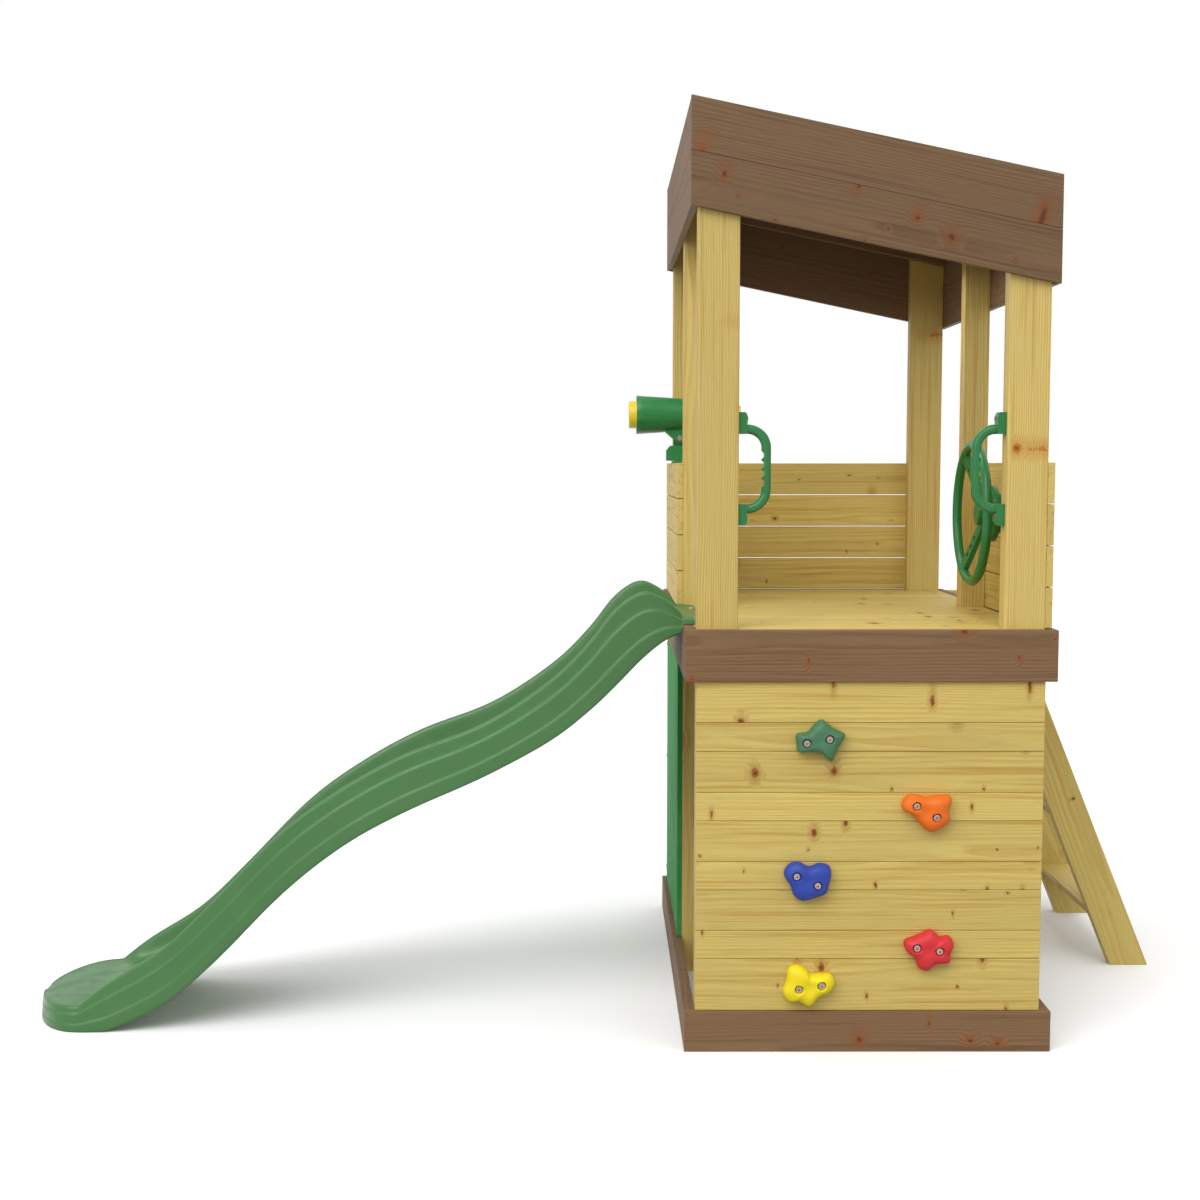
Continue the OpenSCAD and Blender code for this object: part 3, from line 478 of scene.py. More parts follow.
def material(finish: Finish) -> bpy.types.Material:
    """The finish's material, built once.

    Args:
        finish: the finish.

    Returns:
        Its material.
    """
    if finish.name not in _built:
        _built[finish.name] = finish.value.build()
    return _built[finish.name]


# ---------------------------------------------------------------- meshes


def publish(obj: bpy.types.Object, finish: Finish, body: str,
            nodes: Sequence[str]) -> bpy.types.Object:
    """Gives a finished piece its material and its body, and hides the CAD nodes it stands for.

    Args:
        obj: the piece, in the row frame.
        finish: its finish.
        body: the CAD body that it moves with.
        nodes: the CAD nodes that it stands for.

    Returns:
        The same piece.
    """
    obj.data.materials.clear()
    obj.data.materials.append(material(finish))
    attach(obj, body)
    if nodes:
        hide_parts(*nodes)
    return obj


def link(name: str, mesh: bpy.types.Mesh) -> bpy.types.Object:
    """Puts a mesh in the scene.

    Args:
        name: the object's name.
        mesh: its mesh.

    Returns:
        The new object.
    """
    obj = bpy.data.objects.new(name, mesh)
    bpy.context.scene.collection.objects.link(obj)
    return obj


def from_bmesh(name: str, bm: bmesh.types.BMesh, smooth_below: float = 35.0) -> bpy.types.Object:
    """Turns a bmesh in plan millimetres into an object in the row frame.

    Args:
        name: the object's name.
        bm: the mesh, which is freed.
        smooth_below: edges that turn by less than this many degrees are shaded smooth.

    Returns:
        The new object.
    """
    for v in bm.verts:
        v.co = row(*v.co)
    bmesh.ops.recalc_face_normals(bm, faces=bm.faces)
    for face in bm.faces:
        face.smooth = True
    limit = math.radians(smooth_below)
    for edge in bm.edges:
        edge.smooth = len(edge.link_faces) == 2 and edge.calc_face_angle(0.0) < limit
    mesh = bpy.data.meshes.new(name)
    bm.to_mesh(mesh)
    bm.free()
    return link(name, mesh)


def skin(bm: bmesh.types.BMesh, loops: Sequence[Sequence[bmesh.types.BMVert]]) -> None:
    """Joins each closed loop to the next with a band of quads.

    Args:
        bm: the mesh that holds the loops.
        loops: loops of equal length, in order.
    """
    n = len(loops[0])
    for a, b in zip(loops, loops[1:]):
        for i in range(n):
            bm.faces.new((a[i], a[(i + 1) % n], b[(i + 1) % n], b[i]))


AXES = {"x": Vector((1, 0, 0)), "y": Vector((0, 1, 0)), "z": Vector((0, 0, 1))}
SHARP = 0.3


@dataclass
class Timber:
    """Boards of one finish that make up one piece, each with its own grain and shade."""

    name: str
    finish: Finish
    nodes: Sequence[str]
    seed: int
    body: str = "tower"
    shade: float = 0.0
    _verts: list[Vector] = field(default_factory=list)
    _faces: list[list[int]] = field(default_factory=list)
    _grain: list[float] = field(default_factory=list)
    _tone: list[float] = field(default_factory=list)

    def __post_init__(self) -> None:
        """Starts the piece's own run of random draws."""
        self._random = random.Random(self.seed)

    def prism(self, outline: Sequence[Point], push: Vector, grain: Vector,
              ease: float = 1.6) -> None:
        """Adds a board with eased edges.

        Args:
            outline: corners of one face.
            push: from that face to the opposite one.
            grain: direction of the fibres.
            ease: width of the eased edges.
        """
        bm = bmesh.new()
        face = bm.faces.new([bm.verts.new(p) for p in outline])
        grown = bmesh.ops.extrude_face_region(bm, geom=[face])
        far = [v for v in grown["geom"] if isinstance(v, bmesh.types.BMVert)]
        bmesh.ops.translate(bm, vec=push, verts=far)
        bmesh.ops.recalc_face_normals(bm, faces=bm.faces)
        sharp = [e for e in bm.edges if e.calc_face_angle(0.0) > SHARP]
        bmesh.ops.bevel(bm, geom=sharp, offset=ease, segments=2, affect="EDGES", profile=0.6,
                        clamp_overlap=True)
        self._store(bm, grain.normalized())

    def block(self, low: Point, high: Point, grain: str, ease: float = 1.6) -> None:
        """Adds a straight board between two corners.

        Args:
            low: its lowest corner.
            high: its highest corner.
            grain: axis of the fibres.
            ease: width of the eased edges.
        """
        x0, y0, z0 = low
        x1, y1, z1 = high
        outline = [(x0, y0, z0), (x1, y0, z0), (x1, y0, z1), (x0, y0, z1)]
        self.prism(outline, Vector((0, y1 - y0, 0)), AXES[grain], ease)

    def _store(self, bm: bmesh.types.BMesh, along: Vector) -> None:
        """Copies a board into the piece, with its own place in the tree and its own shade.

        Args:
            bm: the board, which is freed.
            along: direction of the fibres.
        """
        side = along.orthogonal().normalized()
        if abs(along.z) < 0.99:
            side = along.cross(Vector((0, 0, 1))).normalized()
        up = along.cross(side)
        pick = self._random
        middle = sum((v.co for v in bm.verts), Vector()) / len(bm.verts)
        start = pick.uniform(0, 9000)
        pith = [pick.uniform(*reach) * pick.choice((-1, 1)) for reach in ((34, 62), (4, 60))]
        tone = self.shade + pick.uniform(-1, 1)
        first = len(self._verts)
        bm.verts.ensure_lookup_table()
        for v in bm.verts:
            at = v.co - middle
            self._grain += (at.dot(along) + start, at.dot(side) + pith[0], at.dot(up) + pith[1])
            self._tone.append(tone)
            self._verts.append(row(*v.co))
        for face in bm.faces:
            self._faces.append([first + v.index for v in face.verts])
        bm.free()

    def finish_piece(self) -> bpy.types.Object:
        """Makes the piece and puts it in the scene.

        Returns:
            The finished piece.
        """
        mesh = bpy.data.meshes.new(self.name)
        mesh.from_pydata(self._verts, [], self._faces)
        grain = mesh.attributes.new("grain", "FLOAT_VECTOR", "POINT")
        grain.data.foreach_set("vector", self._grain)
        tone = mesh.attributes.new("tone", "FLOAT", "POINT")
        tone.data.foreach_set("value", self._tone)
        mesh.polygons.foreach_set("use_smooth", [False] * len(mesh.polygons))
        mesh.update()
        return publish(link(self.name, mesh), self.finish, self.body, self.nodes)


# ---------------------------------------------------------------- frame


def ring_of_boards(piece: str, node: str, low: float, high: float, seed: int) -> None:
    """Builds four stained boards that frame the tower.

    Args:
        piece: start of the pieces' names.
        node: start of the CAD nodes' names.
        low: height of the lower edges.
        high: height of the upper edges.
        seed: seed of the first board.
    """
    p = PLAN
    spans = {
        "front": ((0, 0, low), (p.width, p.board, high), "x"),
        "back": ((0, p.y_out, low), (p.width, p.depth, high), "x"),
        "left": ((0, p.y_in, low), (p.x_in, p.y_out, high), "y"),
        "right": ((p.x_out, p.y_in, low), (p.width, p.y_out, high), "y"),
    }
    for index, (side, (near, far, grain)) in enumerate(spans.items()):
        board = Timber(f"{piece}_{side}", Finish.STAIN, [f"{node}_{side}"], seed + index)
        board.block(near, far, grain)
        board.finish_piece()


@dataclass
class SandFrame:
    """Four stained boards on the ground."""

    plan: Plan = PLAN

    def build(self) -> None:
        """Builds the four boards."""
        ring_of_boards("sand_board", "base_board", 0, self.plan.base_height, 30)


@dataclass
class Posts:
    """Six posts that run from the ground into the roof."""

    plan: Plan = PLAN

    def build(self) -> None:
        """Builds each post with its top cut to the roof's slope."""
        p = self.plan
        back = p.y_out - p.post_depth
        spots = {
            "front_left": (p.x_in, p.post_width, p.y_in),
            "front_right": (p.x_out - p.post_width, p.post_width, p.y_in),
            "mid_left": (p.x_in, p.mid_post_width, p.y_mid),
            "mid_right": (p.x_out - p.mid_post_width, p.mid_post_width, p.y_mid),
            "back_left": (p.x_in, p.post_width, back),
            "back_right": (p.x_out - p.post_width, p.post_width, back),
        }
        for index, (name, (x, w, y)) in enumerate(spots.items()):
            post = Timber(f"post_{name}_wood", Finish.POST, [f"post_{name}"], 11 + index)
            tops = [p.roof_z(x + w) - p.roof_under, p.roof_z(x) - p.roof_under]
            outline = [(x, y, 0), (x + w, y, 0), (x + w, y, tops[0]), (x, y, tops[1])]
            post.prism(outline, Vector((0, p.post_depth, 0)), AXES["z"], 2.5)
            post.finish_piece()


@dataclass
class Deck:
    """Deck boards notched round the posts, their joists and four stained fascias."""

    plan: Plan = PLAN
    thickness: float = 18.0
    joist: float = 38.0
    joist_height: float = 70.0
    board: float = 88.0
    clear: float = 1.0

    def build(self) -> None:
        """Builds the deck."""
        p = self.plan
        ring_of_boards("deck_edge", "deck_fascia", p.fascia_low, p.deck, 47)
        joists = Timber("joist_wood", Finish.PINE, ["deck_joists"], 60)
        under = p.deck - self.thickness
        inner = p.x_in + p.post_width
        for x in (inner, (p.width - self.joist) / 2, p.width - inner - self.joist):
            low = (x, p.y_in, under - self.joist_height)
            joists.block(low, (x + self.joist, p.y_out, under), "y")
        joists.finish_piece()
        self._boards(under)

    def _boards(self, under: float) -> None:
        """Builds the boards, with the posts' corners cut out of those that meet them.

        Args:
            under: height of the boards' underside.
        """
        p = self.plan
        clear = self.clear
        count = round((p.y_out - p.y_in + p.gap) / (self.board + p.gap))
        pitch = math.floor(10 * (p.y_out - p.y_in + p.gap) / count) / 10
        posts = [
            (y - clear, y + p.post_depth + clear, w + clear)
            for y, w in ((p.y_in, p.post_width), (p.y_mid, p.mid_post_width),
                         (p.y_out - p.post_depth, p.post_width))
        ]
        boards = Timber("deck_wood", Finish.PINE, ["deck_boards"], 71)
        for i in range(count):
            y0 = p.y_in + i * pitch
            y1 = y0 + pitch - p.gap
            ends = {min(max(v, y0), y1) for post in posts for v in post[:2]}
            marks = sorted({y0, y1} | ends)
            right, left = [], []
            for a, b in zip(marks, marks[1:]):
                middle = (a + b) / 2
                inset = max([cut for low, high, cut in posts if low <= middle <= high] + [0.0])
                right += [(p.x_out - inset, a, under), (p.x_out - inset, b, under)]
                left += [(p.x_in + inset, a, under), (p.x_in + inset, b, under)]
            loop = right + left[::-1]
            outline = [q for k, q in enumerate(loop) if q != loop[k - 1]]
            boards.prism(outline, Vector((0, 0, self.thickness)), AXES["x"], 1.2)
        boards.finish_piece()


@dataclass
class Rails:
    """Plank rails around the deck, on the outer faces of the posts."""

    plan: Plan = PLAN
    count: int = 4

    def build(self) -> None:
        """Builds the back, left and right rails."""
        p = self.plan
        pitch = p.rail_height / self.count
        spans = {
            "back": ((p.x_in, p.y_out), (p.x_out, p.y_out + p.plank), "x"),
            "left": ((p.x_in - p.plank, p.y_mid), (p.x_in, p.y_out + p.plank), "y"),
            "right": ((p.x_out, p.y_in), (p.x_out + p.plank, p.y_mid + p.post_depth), "y"),
        }
        for index, (side, (a, b, grain)) in enumerate(spans.items()):
            rail = Timber(f"rail_{side}_wood", Finish.PINE, [f"rail_planks_{side}"], 83 + index)
            for i in range(self.count):
                z = p.deck + i * pitch
                rail.block((*a, z + p.gap), (*b, z + pitch), grain)
            rail.finish_piece()


@dataclass
class Roof:
    """Pent roof: two-board fascias all round, boards and rafters."""

    plan: Plan = PLAN
    seam: float = 1.5
    groove: float = 0.3
    boards: int = 7
    rafter: float = 30.0
    shade: float = -3.0

    def build(self) -> None:
        """Builds the roof."""
        p = self.plan
        along = Vector((1, 0, -p.roof_slope))
        height = 2 * p.roof_plumb + self.seam
        for index, (side, y) in enumerate((("front", p.y_in - p.roof_board), ("back", p.y_out))):
            edge = self._edge(side, 105 + index)
            for top, low in ((0.0, p.roof_plumb), (p.roof_plumb + self.groove, height)):
                edge.prism(self._band(p.roof_x0, p.roof_x1, y, top, low),
                           Vector((0, p.roof_board, 0)), along)
            edge.finish_piece()
        left_low = p.roof_z(p.roof_x0) - height
        right_low = p.roof_z(p.roof_x1) - height
        self._level("left", p.roof_x0, p.roof_z(p.roof_x0 + p.roof_board), left_low, 119)
        self._level("right", p.roof_x1 - p.roof_board, p.roof_z(p.roof_x1), right_low, 124)
        rafters = Timber("rafter_wood", Finish.STAIN, ["roof_rafters"], 130, shade=self.shade)
        back = p.y_out - p.post_depth - self.rafter
        for y in (p.y_in + p.post_depth, p.y_mid - self.rafter, back):
            rafters.prism(self._band(p.x_in, p.x_out, y, p.roof_under, p.roof_under + self.rafter),
                          Vector((0, self.rafter, 0)), along)
        rafters.finish_piece()
        cover = Timber("roof_board_wood", Finish.STAIN, ["roof_boards"], 137, shade=self.shade)
        pitch = (p.x_out - p.x_in + p.gap) / self.boards
        for i in range(self.boards):
            a = p.x_in + i * pitch
            band = self._band(a, a + pitch - p.gap, p.y_in, p.roof_drop, p.roof_under - p.seat)
            cover.prism(band, Vector((0, p.y_out - p.y_in, 0)), AXES["y"])
        cover.finish_piece()

    def _edge(self, side: str, seed: int) -> Timber:
        """An empty fascia for one side."""
        return Timber(f"roof_edge_{side}", Finish.STAIN, [f"roof_fascia_{side}"], seed,
                      shade=self.shade)

    def _band(self, x0: float, x1: float, y: float, top: float, low: float) -> list[Point]:
        """Corners of a band that follows the slope between two depths under the fascia's top."""
        z = self.plan.roof_z
        return [(x0, y, z(x0) - low), (x1, y, z(x1) - low),
                (x1, y, z(x1) - top), (x0, y, z(x0) - top)]

    def _level(self, side: str, x: float, top: float, low: float, seed: int) -> None:
        """Builds the two level boards of one side.

        Args:
            side: the side's name.
            x: their left face.
            top: height of the upper edge.
            low: height of the lower edge.
            seed: the piece's seed.
        """
        p = self.plan
        edge = self._edge(side, seed)
        middle = low + p.roof_plumb
        edge.block((x, p.y_in, low), (x + p.roof_board, p.y_out, middle), "y")
        edge.block((x, p.y_in, middle + self.groove), (x + p.roof_board, p.y_out, top), "y")
        edge.finish_piece()


@dataclass
class Ladder:
    """Leaning ladder with housed treads."""

    plan: Plan = PLAN
    lean: float = math.tan(math.radians(22))
    stringer: float = 89.0
    thickness: float = 38.0
    clear: float = 464.0
    rise: float = 262.0
    tread: float = 22.0
    meet: float = 6.0
    clearance: float = 4.0
    housing: float = 8.0
    inset: float = 3.0

    def build(self) -> None:
        """Builds both stringers and the three treads."""
        p = self.plan
        meet = p.fascia_low - self.meet
        inner = p.width + meet * self.lean
        outer = inner + self.stringer * math.hypot(1, self.lean)
        y0 = p.y_mid + p.post_depth + self.clearance
        y1 = y0 + self.thickness + self.clear
        along = Vector((-self.lean, 0, 1))
        for name, y, seed in (("near", y0, 151), ("far", y1, 158)):
            outline = [
                (inner, y, 0), (outer, y, 0), (outer - p.deck * self.lean, y, p.deck),
                (p.width, y, p.deck), (p.width, y, meet),
            ]
            rail = Timber(f"stringer_{name}_wood", Finish.PINE, [f"ladder_stringer_{name}"], seed)
            rail.prism(outline, Vector((0, self.thickness, 0)), along, 2.0)
            rail.finish_piece()
        treads = Timber("tread_wood", Finish.PINE, ["ladder_treads"], 163)
        y = y0 + self.thickness - self.housing
        for i in (1, 2, 3):
            top = p.deck - i * self.rise
            low = top - self.tread
            outline = [
                (inner - low * self.lean + self.inset, y, low),
                (outer - low * self.lean - self.inset, y, low),
                (outer - top * self.lean - self.inset, y, top),
                (inner - top * self.lean + self.inset, y, top),
            ]
            treads.prism(outline, Vector((0, self.clear + 2 * self.housing, 0)), AXES["y"])
        treads.finish_piece()


# ---------------------------------------------------------------- climbing wall


def between(a: Vector, b: Vector, c: Vector, d: Vector, t: float) -> Vector:
    """A point between b and c on the smooth curve through four points.

    Args:
        a: the point before b.
        b: where the part starts.
        c: where the part ends.
        d: the point after c.
        t: share of the way from b to c.

    Returns:
        The point.
    """
    return 0.5 * (2 * b + (c - a) * t + (2 * a - 5 * b + 4 * c - d) * t * t
                  + (3 * b - a - 3 * c + d) * t ** 3)


def closed_curve(points: Sequence[Flat], steps: int) -> list[Vector]:
    """Smooth closed curve through points.

    Args:
        points: the points, in order.
        steps: parts between neighbours.

    Returns:
        Points along the curve.
    """
    out = []
    n = len(points)
    for i in range(n):
        four = [Vector(points[(i + k - 1) % n]) for k in range(4)]
        out += [between(*four, j / steps) for j in range(steps)]
    return out


def smoothstep(low: float, high: float, value: float) -> float:
    """Smooth rise from 0 at `low` to 1 at `high`."""
    t = min(max((value - low) / (high - low), 0.0), 1.0)
    return t * t * (3 - 2 * t)


@dataclass
class Hold:
    """Moulded climbing hold with two recessed bolts."""

    colour: str
    finish: Finish
    centre: Flat
    turn: float
    bolts: Flat
    outline: Sequence[Flat]
    depth: float = 34.0
    pitch: float = 50.0
    seat: float = 20.0
    wall: float = 9.0
    rings: int = 34
    foot: Sequence[Flat] = ((0.955, 0.0), (0.985, 0.05), (1.0, 0.13), (1.0, 0.24))
    crown: float = 0.62
    swell: float = 0.8
    saddle: Flat = (15.0, 4.5)
    recess: Flat = (7.6, 10.4)

    def build(self) -> None:
        """Builds the hold as rings that shrink towards its middle."""
        edge = closed_curve(self.outline, 7)
        turn = math.radians(self.turn)
        reach = Vector((math.cos(turn), math.sin(turn))) * self.pitch / 2
        middle = Vector(self.bolts)
        heads = [middle - reach, middle + reach]
        rim = self.foot[-1][1]
        profile = list(self.foot)
        for k in range(1, self.rings):
            a = k / self.rings * math.pi / 2
            profile.append((math.cos(a) ** self.crown, rim + (1 - rim) * math.sin(a) ** self.swell))
        bm = bmesh.new()
        loops = [[bm.verts.new(self._place(p * share, rise, heads)) for p in edge]
                 for share, rise in profile]
        tip = bm.verts.new(self._place(Vector((0, 0)), 1.0, heads))
        skin(bm, loops)
        n = len(edge)
        for i in range(n):
            bm.faces.new((loops[-1][i], loops[-1][(i + 1) % n], tip))
        bm.faces.new(loops[0][::-1])
        obj = from_bmesh(f"hold_{self.colour}_resin", bm, 60)
        publish(obj, self.finish, "tower", [f"hold_{self.colour}"])

    def _place(self, q: Vector, rise: float, heads: Sequence[Vector]) -> Point:
        """A point of the hold's face, sunk at the bolts and in the saddle between them.

        Args:
            q: the point across the hold, from its centre.
            rise: its share of the hold's depth.
            heads: middles of the bolts' heads.

        Returns:
            The point in the plan.
        """
        width, depth = self.saddle
        dip = math.exp(-((q - (heads[0] + heads[1]) / 2).length / width) ** 2) * depth
        out = self.depth * rise - dip * smoothstep(0.5, 1.0, rise)
        for head in heads:
            sunk = 1 - smoothstep(*self.recess, (q - head).length)
            out = out + (min(out, self.seat - 0.3) - out) * sunk
        return (self.centre[0] + q.x, self.wall - out, self.centre[1] + q.y)


@dataclass
class ClimbingWall:
    """Nine tongued and grooved planks and five holds."""

    plan: Plan = PLAN
    wide: float = 90.0
    narrow: float = 63.0
    seam: float = 0.4

    def build(self) -> None:
        """Builds the planks with V-shaped seams, and the holds."""
        p = self.plan
        total = p.fascia_low - p.base_height
        pair = self.wide + self.narrow
        pairs = int((total - self.wide) // pair)
        first = total - pairs * pair
        joints = [p.base_height]
        for i in range(pairs):
            joint = p.base_height + first + i * pair
            joints += [joint, joint + self.narrow]
        joints.append(p.fascia_low)
        planks = Timber("climbing_plank_wood", Finish.PINE, ["climbing_planks"], 190)
        face = p.y_in - p.plank
        for low, high in zip(joints, joints[1:]):
            planks.block((p.x_in, face, low + self.seam), (p.x_out, p.y_in, high - self.seam), "x")
        planks.finish_piece()
        for hold in self._holds():
            hold.build()

    def _holds(self) -> list[Hold]:
        """The five holds, from the top down.

        Returns:
            The holds.
        """
        return [
            Hold("dark_green", Finish.HOLD_DARK_GREEN, (292, 692), 10, (-6, -1), (
                (53, 9), (38, -19), (28, -43), (18, -44), (0, -28), (-22, -26), (-47, -26),
                (-51, -8), (-51, 12), (-27, 18), (-12, 35), (5, 44), (28, 26), (49, 16))),
            Hold("orange", Finish.HOLD_ORANGE, (527, 533), -30, (-5, 4), (
                (51, 28), (46, 6), (48, -16), (30, -33), (8, -43), (-12, -30), (-31, -8), (-55, 9),
                (-54, 26), (-40, 39), (-22, 38), (-3, 34), (26, 38), (44, 38))),
            Hold("blue", Finish.HOLD_BLUE, (269, 382), -24, (-4, 3), (
                (50, 18), (45, -8), (38, -27), (12, -38), (-14, -43), (-31, -32),
                (-39, -10), (-53, 14), (-45, 34), (-24, 43), (1, 32), (24, 39), (44, 34))),
            Hold("red", Finish.HOLD_RED, (533, 228), -8, (-3, 5), (
                (55, 14), (48, -8), (45, -27), (17, -31), (-3, -45), (-22, -38), (-30, -17),
                (-48, -2), (-53, 20), (-36, 29), (-14, 38), (5, 46), (25, 30), (44, 32))),
            Hold("yellow", Finish.HOLD_YELLOW, (272, 149), 9, (2, 0), (
                (57, 8), (47, -12), (22, -25), (2, -46), (-22, -35), (-44, -34), (-56, -14),
                (-49, 10), (-44, 38), (-26, 46), (-7, 38), (3, 26), (28, 27), (48, 25))),
        ]


# ---------------------------------------------------------------- slide


@dataclass
class Slide:
    """Moulded wavy slide, lofted through cross-sections."""

    plan: Plan = PLAN
    half: float = 203.0
    wall: float = 8.0
    lip: float = 48.0
    lip_floor: float = 9.0
    landing: float = 128.0
    lip_turn: Flat = (16.0, 12.0)
    tip_turn: Sequence[int] = (*range(8, 88, 8), 87)
    tip_fall: float = 14.0
    under: int = 8
    rows: Sequence[tuple[float, float, float, float]] = (
        (-0.6, 23, 9, -18), (-40, 57, 4, -37), (-90, 73, -8, -78), (-150, 34, -50, -140),
        (-210, -42, -118, -197), (-300, -130, -206, -266), (-450, -227, -300, -347),
        (-620, -292, -368, -423), (-760, -367, -444, -500), (-900, -467, -550, -610),
        (-1050, -619, -702, -762), (-1170, -734, -808, -864), (-1290, -810, -862, -922),
        (-1340, -846, -871, -930), (-1373, -873, -875, -930),
    )

    def section(self, w: float, rim: float, bed: float, low: float) -> list[Flat]:
        """One closed cross-section.

        Args:
            w: half its width.
            rim: height of the rims.
            bed: height of the bed.
            low: height of the lower edges.

        Returns:
            Points as (sideways, height), over the top and back underneath.
        """
        k = min(1.0, w / 130)
        h = rim - low
        t = self.wall
        top = [
            (w, low), (w, low + 0.12 * h), (w, low + 0.27 * h), (w - 0.6 * k, low + 0.292 * h),
            (w - 5.2 * k, low + 0.3 * h), (w - 5.6 * k, low + 0.48 * h),
            (w - 6 * k, low + 0.665 * h),
            (w - 6.6 * k, low + 0.688 * h), (w - 11 * k, low + 0.696 * h),
            (w - 13 * k, max(rim - 8, low + 0.76 * h)), (w - 15 * k, rim - 3), (w - 19 * k, rim),
            (w - 25 * k, rim), (w - 30 * k, rim - 2),
            (w - 34 * k, max(rim - 10, bed + 1)), (w - 40 * k, bed + (rim - bed) * 0.3),
            (w - 48 * k, bed + (rim - bed) * 0.06), (w - 62 * k, bed), (w * 0.35, bed),
        ]
        under = [
            (w * 0.35, bed - t), (w - 58 * k, bed - t), (w - 44 * k, bed - t + (rim - bed) * 0.1),
            (w - 32 * k, rim - t - 2), (w - 20 * k, rim - t - 2),
            (w - (t + 6) * k, low + 0.62 * h), (w - t * k, low + 0.2 * h), (w - t * k, low),
        ]
        left_top = [(-x, z) for x, z in reversed(top)]
        left_under = [(-x, z) for x, z in reversed(under)]
        return top + left_top + left_under + under

    def build(self) -> None:
        """Builds the slide with a smooth skin."""
        p = self.plan
        half = self.half
        rise, fall = self.lip_turn
        stations: list[tuple[float, float, float, float, float]] = [
            (x, half, rise - x / fall, self.lip_floor, 0.0)
            for x in (self.lip, self.lip - 1.5, self.lip - 8, 20, 4, 0.4)
        ]
        rows = [Vector(r) for r in self.rows]
        last = len(rows) - 1
        for i in range(last):
            four = [rows[min(max(i + k - 1, 0), last)] for k in range(4)]
            for j in range(4):
                x, rim, bed, low = between(*four, j / 4)
                stations.append((x, half, rim, bed, low))
        x, rim, bed, low = rows[-1]
        stations.append((x, half, rim, bed, low))
        for degrees in self.tip_turn:
            a = math.radians(degrees)
            drop = self.tip_fall * (1 - math.cos(a))
            end = x - self.landing * math.sin(a)
            stations.append((end, half * math.cos(a), rim - drop, bed - drop, low))
        bm = bmesh.new()
        loops = [
            [bm.verts.new((x, p.slide_y + side, p.deck + z)) for side, z in self.section(*shape)]
            for x, *shape in stations
        ]
        skin(bm, loops)
        self._cap(bm, loops[0])
        self._close_tip(bm, loops[-1])
        obj = from_bmesh("slide_moulding", bm, 80)
        smooth = obj.modifiers.new("Skin", "SUBSURF")
        smooth.levels = smooth.render_levels = 2
        publish(obj, Finish.SLIDE, "tower", ["slide"])

    def _cap(self, bm: bmesh.types.BMesh, loop: Sequence[bmesh.types.BMVert]) -> None:
        """Closes an end between the section's upper and lower sides.

        Args:
            bm: the slide's mesh.
            loop: the end's cross-section.
        """
        count = 2 * self.under
        upper, lower = loop[:-count], loop[:-count - 1:-1]
        spots = [round(i * (len(upper) - 1) / (count - 1)) for i in range(count)]
        for k in range(count - 1):
            bm.faces.new(upper[spots[k] : spots[k + 1] + 1] + [lower[k + 1], lower[k]])

    def _close_tip(self, bm: bmesh.types.BMesh, loop: Sequence[bmesh.types.BMVert]) -> None:
        """Closes the landing's end, with the hollow underneath stopped a wall's thickness short.

        Args:
            bm: the slide's mesh.
            loop: the end's cross-section.
        """
        count = 2 * self.under
        outer, under = loop[:-count], loop[-count:]
        for v in under:
            v.co.x += self.wall
        bm.faces.new(outer)
        bm.faces.new(under)
        bm.faces.new((outer[0], outer[-1], under[0], under[-1]))


# ---------------------------------------------------------------- fittings on CAD nodes


@dataclass
class Fittings:
    """CAD nodes that are shown as they are, with softened edges and a finish."""

    plastic: Sequence[str] = (
        "grip_left", "grip_right", "wheel_base", "steering_wheel", "wheel_cap",
        "telescope_foot", "telescope_bracket", "telescope_tube",
    )
    yellow: Sequence[str] = ("telescope_ring", "telescope_eyepiece")
    steel: Sequence[str] = (
        "hold_bolts", "hold_tee_nuts", "joist_bolts", "slide_bolts", "chalkboard_screws",
        "grip_screws",
        "wheel_axle", "wheel_screws", "swivel_bolt", "tilt_bolt", "telescope_screws",
    )
    board: Flat = (12.0, 726.0)
    cleat_size: Point = (24.0, 120.0, 60.0)

    def build(self, nodes: dict[str, bpy.types.Object]) -> None:
        """Finishes the nodes.

        Args:
            nodes: the frame's CAD nodes by name.
        """
        for names, finish, ease in (
            (self.plastic, Finish.FITTING, 1.6), (self.yellow, Finish.YELLOW, 1.0),
            (self.steel, Finish.STEEL, 0.5), (("telescope_lenses",), Finish.LENS, 0.3),
        ):
            for name in names:
                obj = nodes[name]
                obj.data.materials.clear()
                obj.data.materials.append(material(finish))
                weld = obj.modifiers.new("Weld", "WELD")
                weld.merge_threshold = 1e-5
                bevel = obj.modifiers.new("Ease", "BEVEL")
                bevel.width = ease / 1000
                bevel.segments = 2
                bevel.limit_method = "ANGLE"
                bevel.angle_limit = math.radians(38)
                bevel.harden_normals = True

    def chalkboard(self) -> None:
        """Builds the chalkboard with eased edges."""
        p = PLAN
        thickness, height = self.board
        board = Timber("chalkboard_panel", Finish.CHALK, ["chalkboard"], 210)
        low = p.fascia_low - 1 - height
        board.block((p.x_in - thickness, p.y_mid, low), (p.x_in, p.y_out, low + height), "z", 1.2)
        board.finish_piece()

    def cleat(self) -> None:
        """Builds the timber cleat behind the telescope."""
        p = PLAN
        x, y, z = self.cleat_size
        block = Timber("cleat_wood", Finish.PINE, ["telescope_cleat"], 221)
        middle = (p.y_mid + p.post_depth + p.y_out - p.post_depth) / 2
        top = p.deck + p.rail_height
        block.block((p.x_in, middle - y / 2, top - z), (p.x_in + x, middle + y / 2, top), "y")
        block.finish_piece()


# ---------------------------------------------------------------- studio


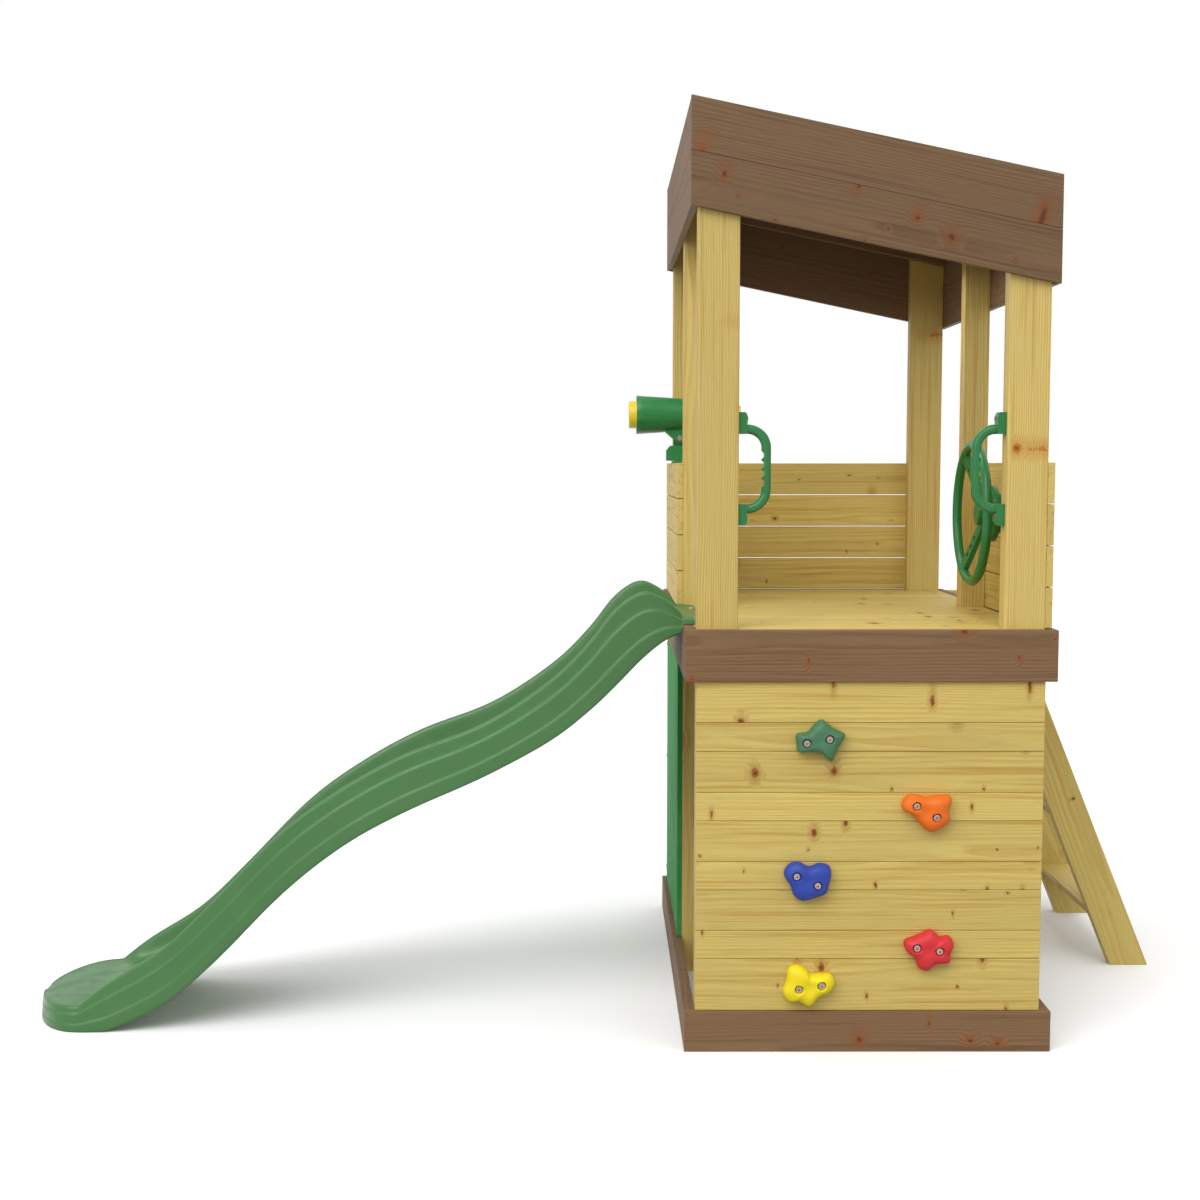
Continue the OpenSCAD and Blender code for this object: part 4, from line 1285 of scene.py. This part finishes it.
@dataclass
class Studio:
    """Pale floor, soft light and the camera."""

    camera: Point = (-191.9, -3568.2, 1282.7)
    pitch: float = 85.4
    yaw: float = -0.12
    lens: float = 50.0
    floor: float = 30.0
    sky: float = 0.84
    ground: float = 0.36
    sun: float = 1.25
    sun_from: Point = (-0.22, -0.62, 0.75)
    sun_spread: float = 42.0
    lights: Sequence[tuple[str, Point, float, float]] = (
        ("key", (-3.8, -2.8, 3.4), 3.0, 95.0),
        ("fill", (3.4, -2.6, 2.4), 3.0, 14.0),
        ("top", (0.2, 0.9, 5.2), 3.0, 20.0),
        ("deck", (0.0, 0.5, 1.78), 0.5, 2.5),
    )

    def build(self) -> None:
        """Builds the floor, the lights, the world and the camera."""
        scene = bpy.context.scene
        scene.view_settings.view_transform = "Standard"
        self._floor()
        self._sky(scene)
        for light in self.lights:
            self._area(*light)
        self._sun(scene)
        self._camera(scene)

    def _floor(self) -> None:
        """Lays a matt floor that throws no light back on the tower."""
        size = self.floor
        mesh = bpy.data.meshes.new("floor")
        square = [(-size, -size, 0), (size, -size, 0), (size, size, 0), (-size, size, 0)]
        mesh.from_pydata(square, [], [(0, 1, 2, 3)])
        floor = link("floor", mesh)
        t = Tree(bpy.data.materials.new("studio_floor"))
        matt = {"Base Color": srgb("FDFDFD"), "Roughness": 0.9, "Specular IOR Level": 0.1}
        floor.data.materials.append(t.end(t.add("BsdfPrincipled", sockets=matt)))
        floor.visible_diffuse = False

    def _sun(self, scene: bpy.types.Scene) -> None:
        """Adds a broad, soft sun.

        Args:
            scene: the scene.
        """
        data = bpy.data.lights.new("sun", "SUN")
        data.energy = self.sun
        data.angle = math.radians(self.sun_spread)
        sun = bpy.data.objects.new("sun", data)
        sun.rotation_euler = (-Vector(self.sun_from)).to_track_quat("-Z", "Y").to_euler()
        scene.collection.objects.link(sun)

    def _camera(self, scene: bpy.types.Scene) -> None:
        """Adds the camera and makes it the scene's own.

        Args:
            scene: the scene.
        """
        data = bpy.data.cameras.new("camera")
        data.lens = self.lens
        data.sensor_width = 36.0
        data.clip_end = 100.0
        camera = bpy.data.objects.new("camera", data)
        camera.location = row(*self.camera)
        camera.rotation_euler = (math.radians(self.pitch), 0.0, math.radians(self.yaw))
        scene.collection.objects.link(camera)
        scene.camera = camera

    def _sky(self, scene: bpy.types.Scene) -> None:
        """White surroundings: plain white behind the tower, and dimmer as light from below.

        Args:
            scene: the scene.
        """
        scene.world = bpy.data.worlds.new("studio")
        t = Tree(scene.world, "OutputWorld")
        up = t.add("SeparateXYZ", t.add("TexCoord", out="Generated"), out=2)
        light = t.add("MapRange", up, -0.25, 0.15, self.ground, self.sky)
        seen = t.add("LightPath", out="Is Camera Ray")
        strength = t.add("MapRange", seen, 0.0, 1.0, light, 1.0)
        t.end(t.add("Background", srgb("FFFFFF"), strength))

    @staticmethod
    def _area(name: str, at: Point, size: float, power: float) -> None:
        """Adds a square soft light that faces the tower's middle and isn't seen itself.

        Args:
            name: the light's name.
            at: its place, in metres in the row frame.
            size: its side in metres.
            power: its power in watts.
        """
        data = bpy.data.lights.new(name, "AREA")
        data.size = size
        data.energy = power
        light = bpy.data.objects.new(name, data)
        light.location = at
        light.visible_camera = False
        aim = Vector((-0.05, 0.5, 0.9)) - Vector(at)
        light.rotation_euler = aim.to_track_quat("-Z", "Y").to_euler()
        bpy.context.scene.collection.objects.link(light)


def main() -> None:
    """Builds the whole scene."""
    logging.basicConfig(level=logging.INFO)
    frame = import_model()
    for part in (SandFrame(), Posts(), Deck(), Rails(), Roof(), Ladder(), ClimbingWall(), Slide()):
        LOG.info("building %s", type(part).__name__)
        part.build()
    fittings = Fittings()
    fittings.build(frame["nodes"])
    fittings.chalkboard()
    fittings.cleat()
    Studio().build()


if __name__ == "__main__":
    main()
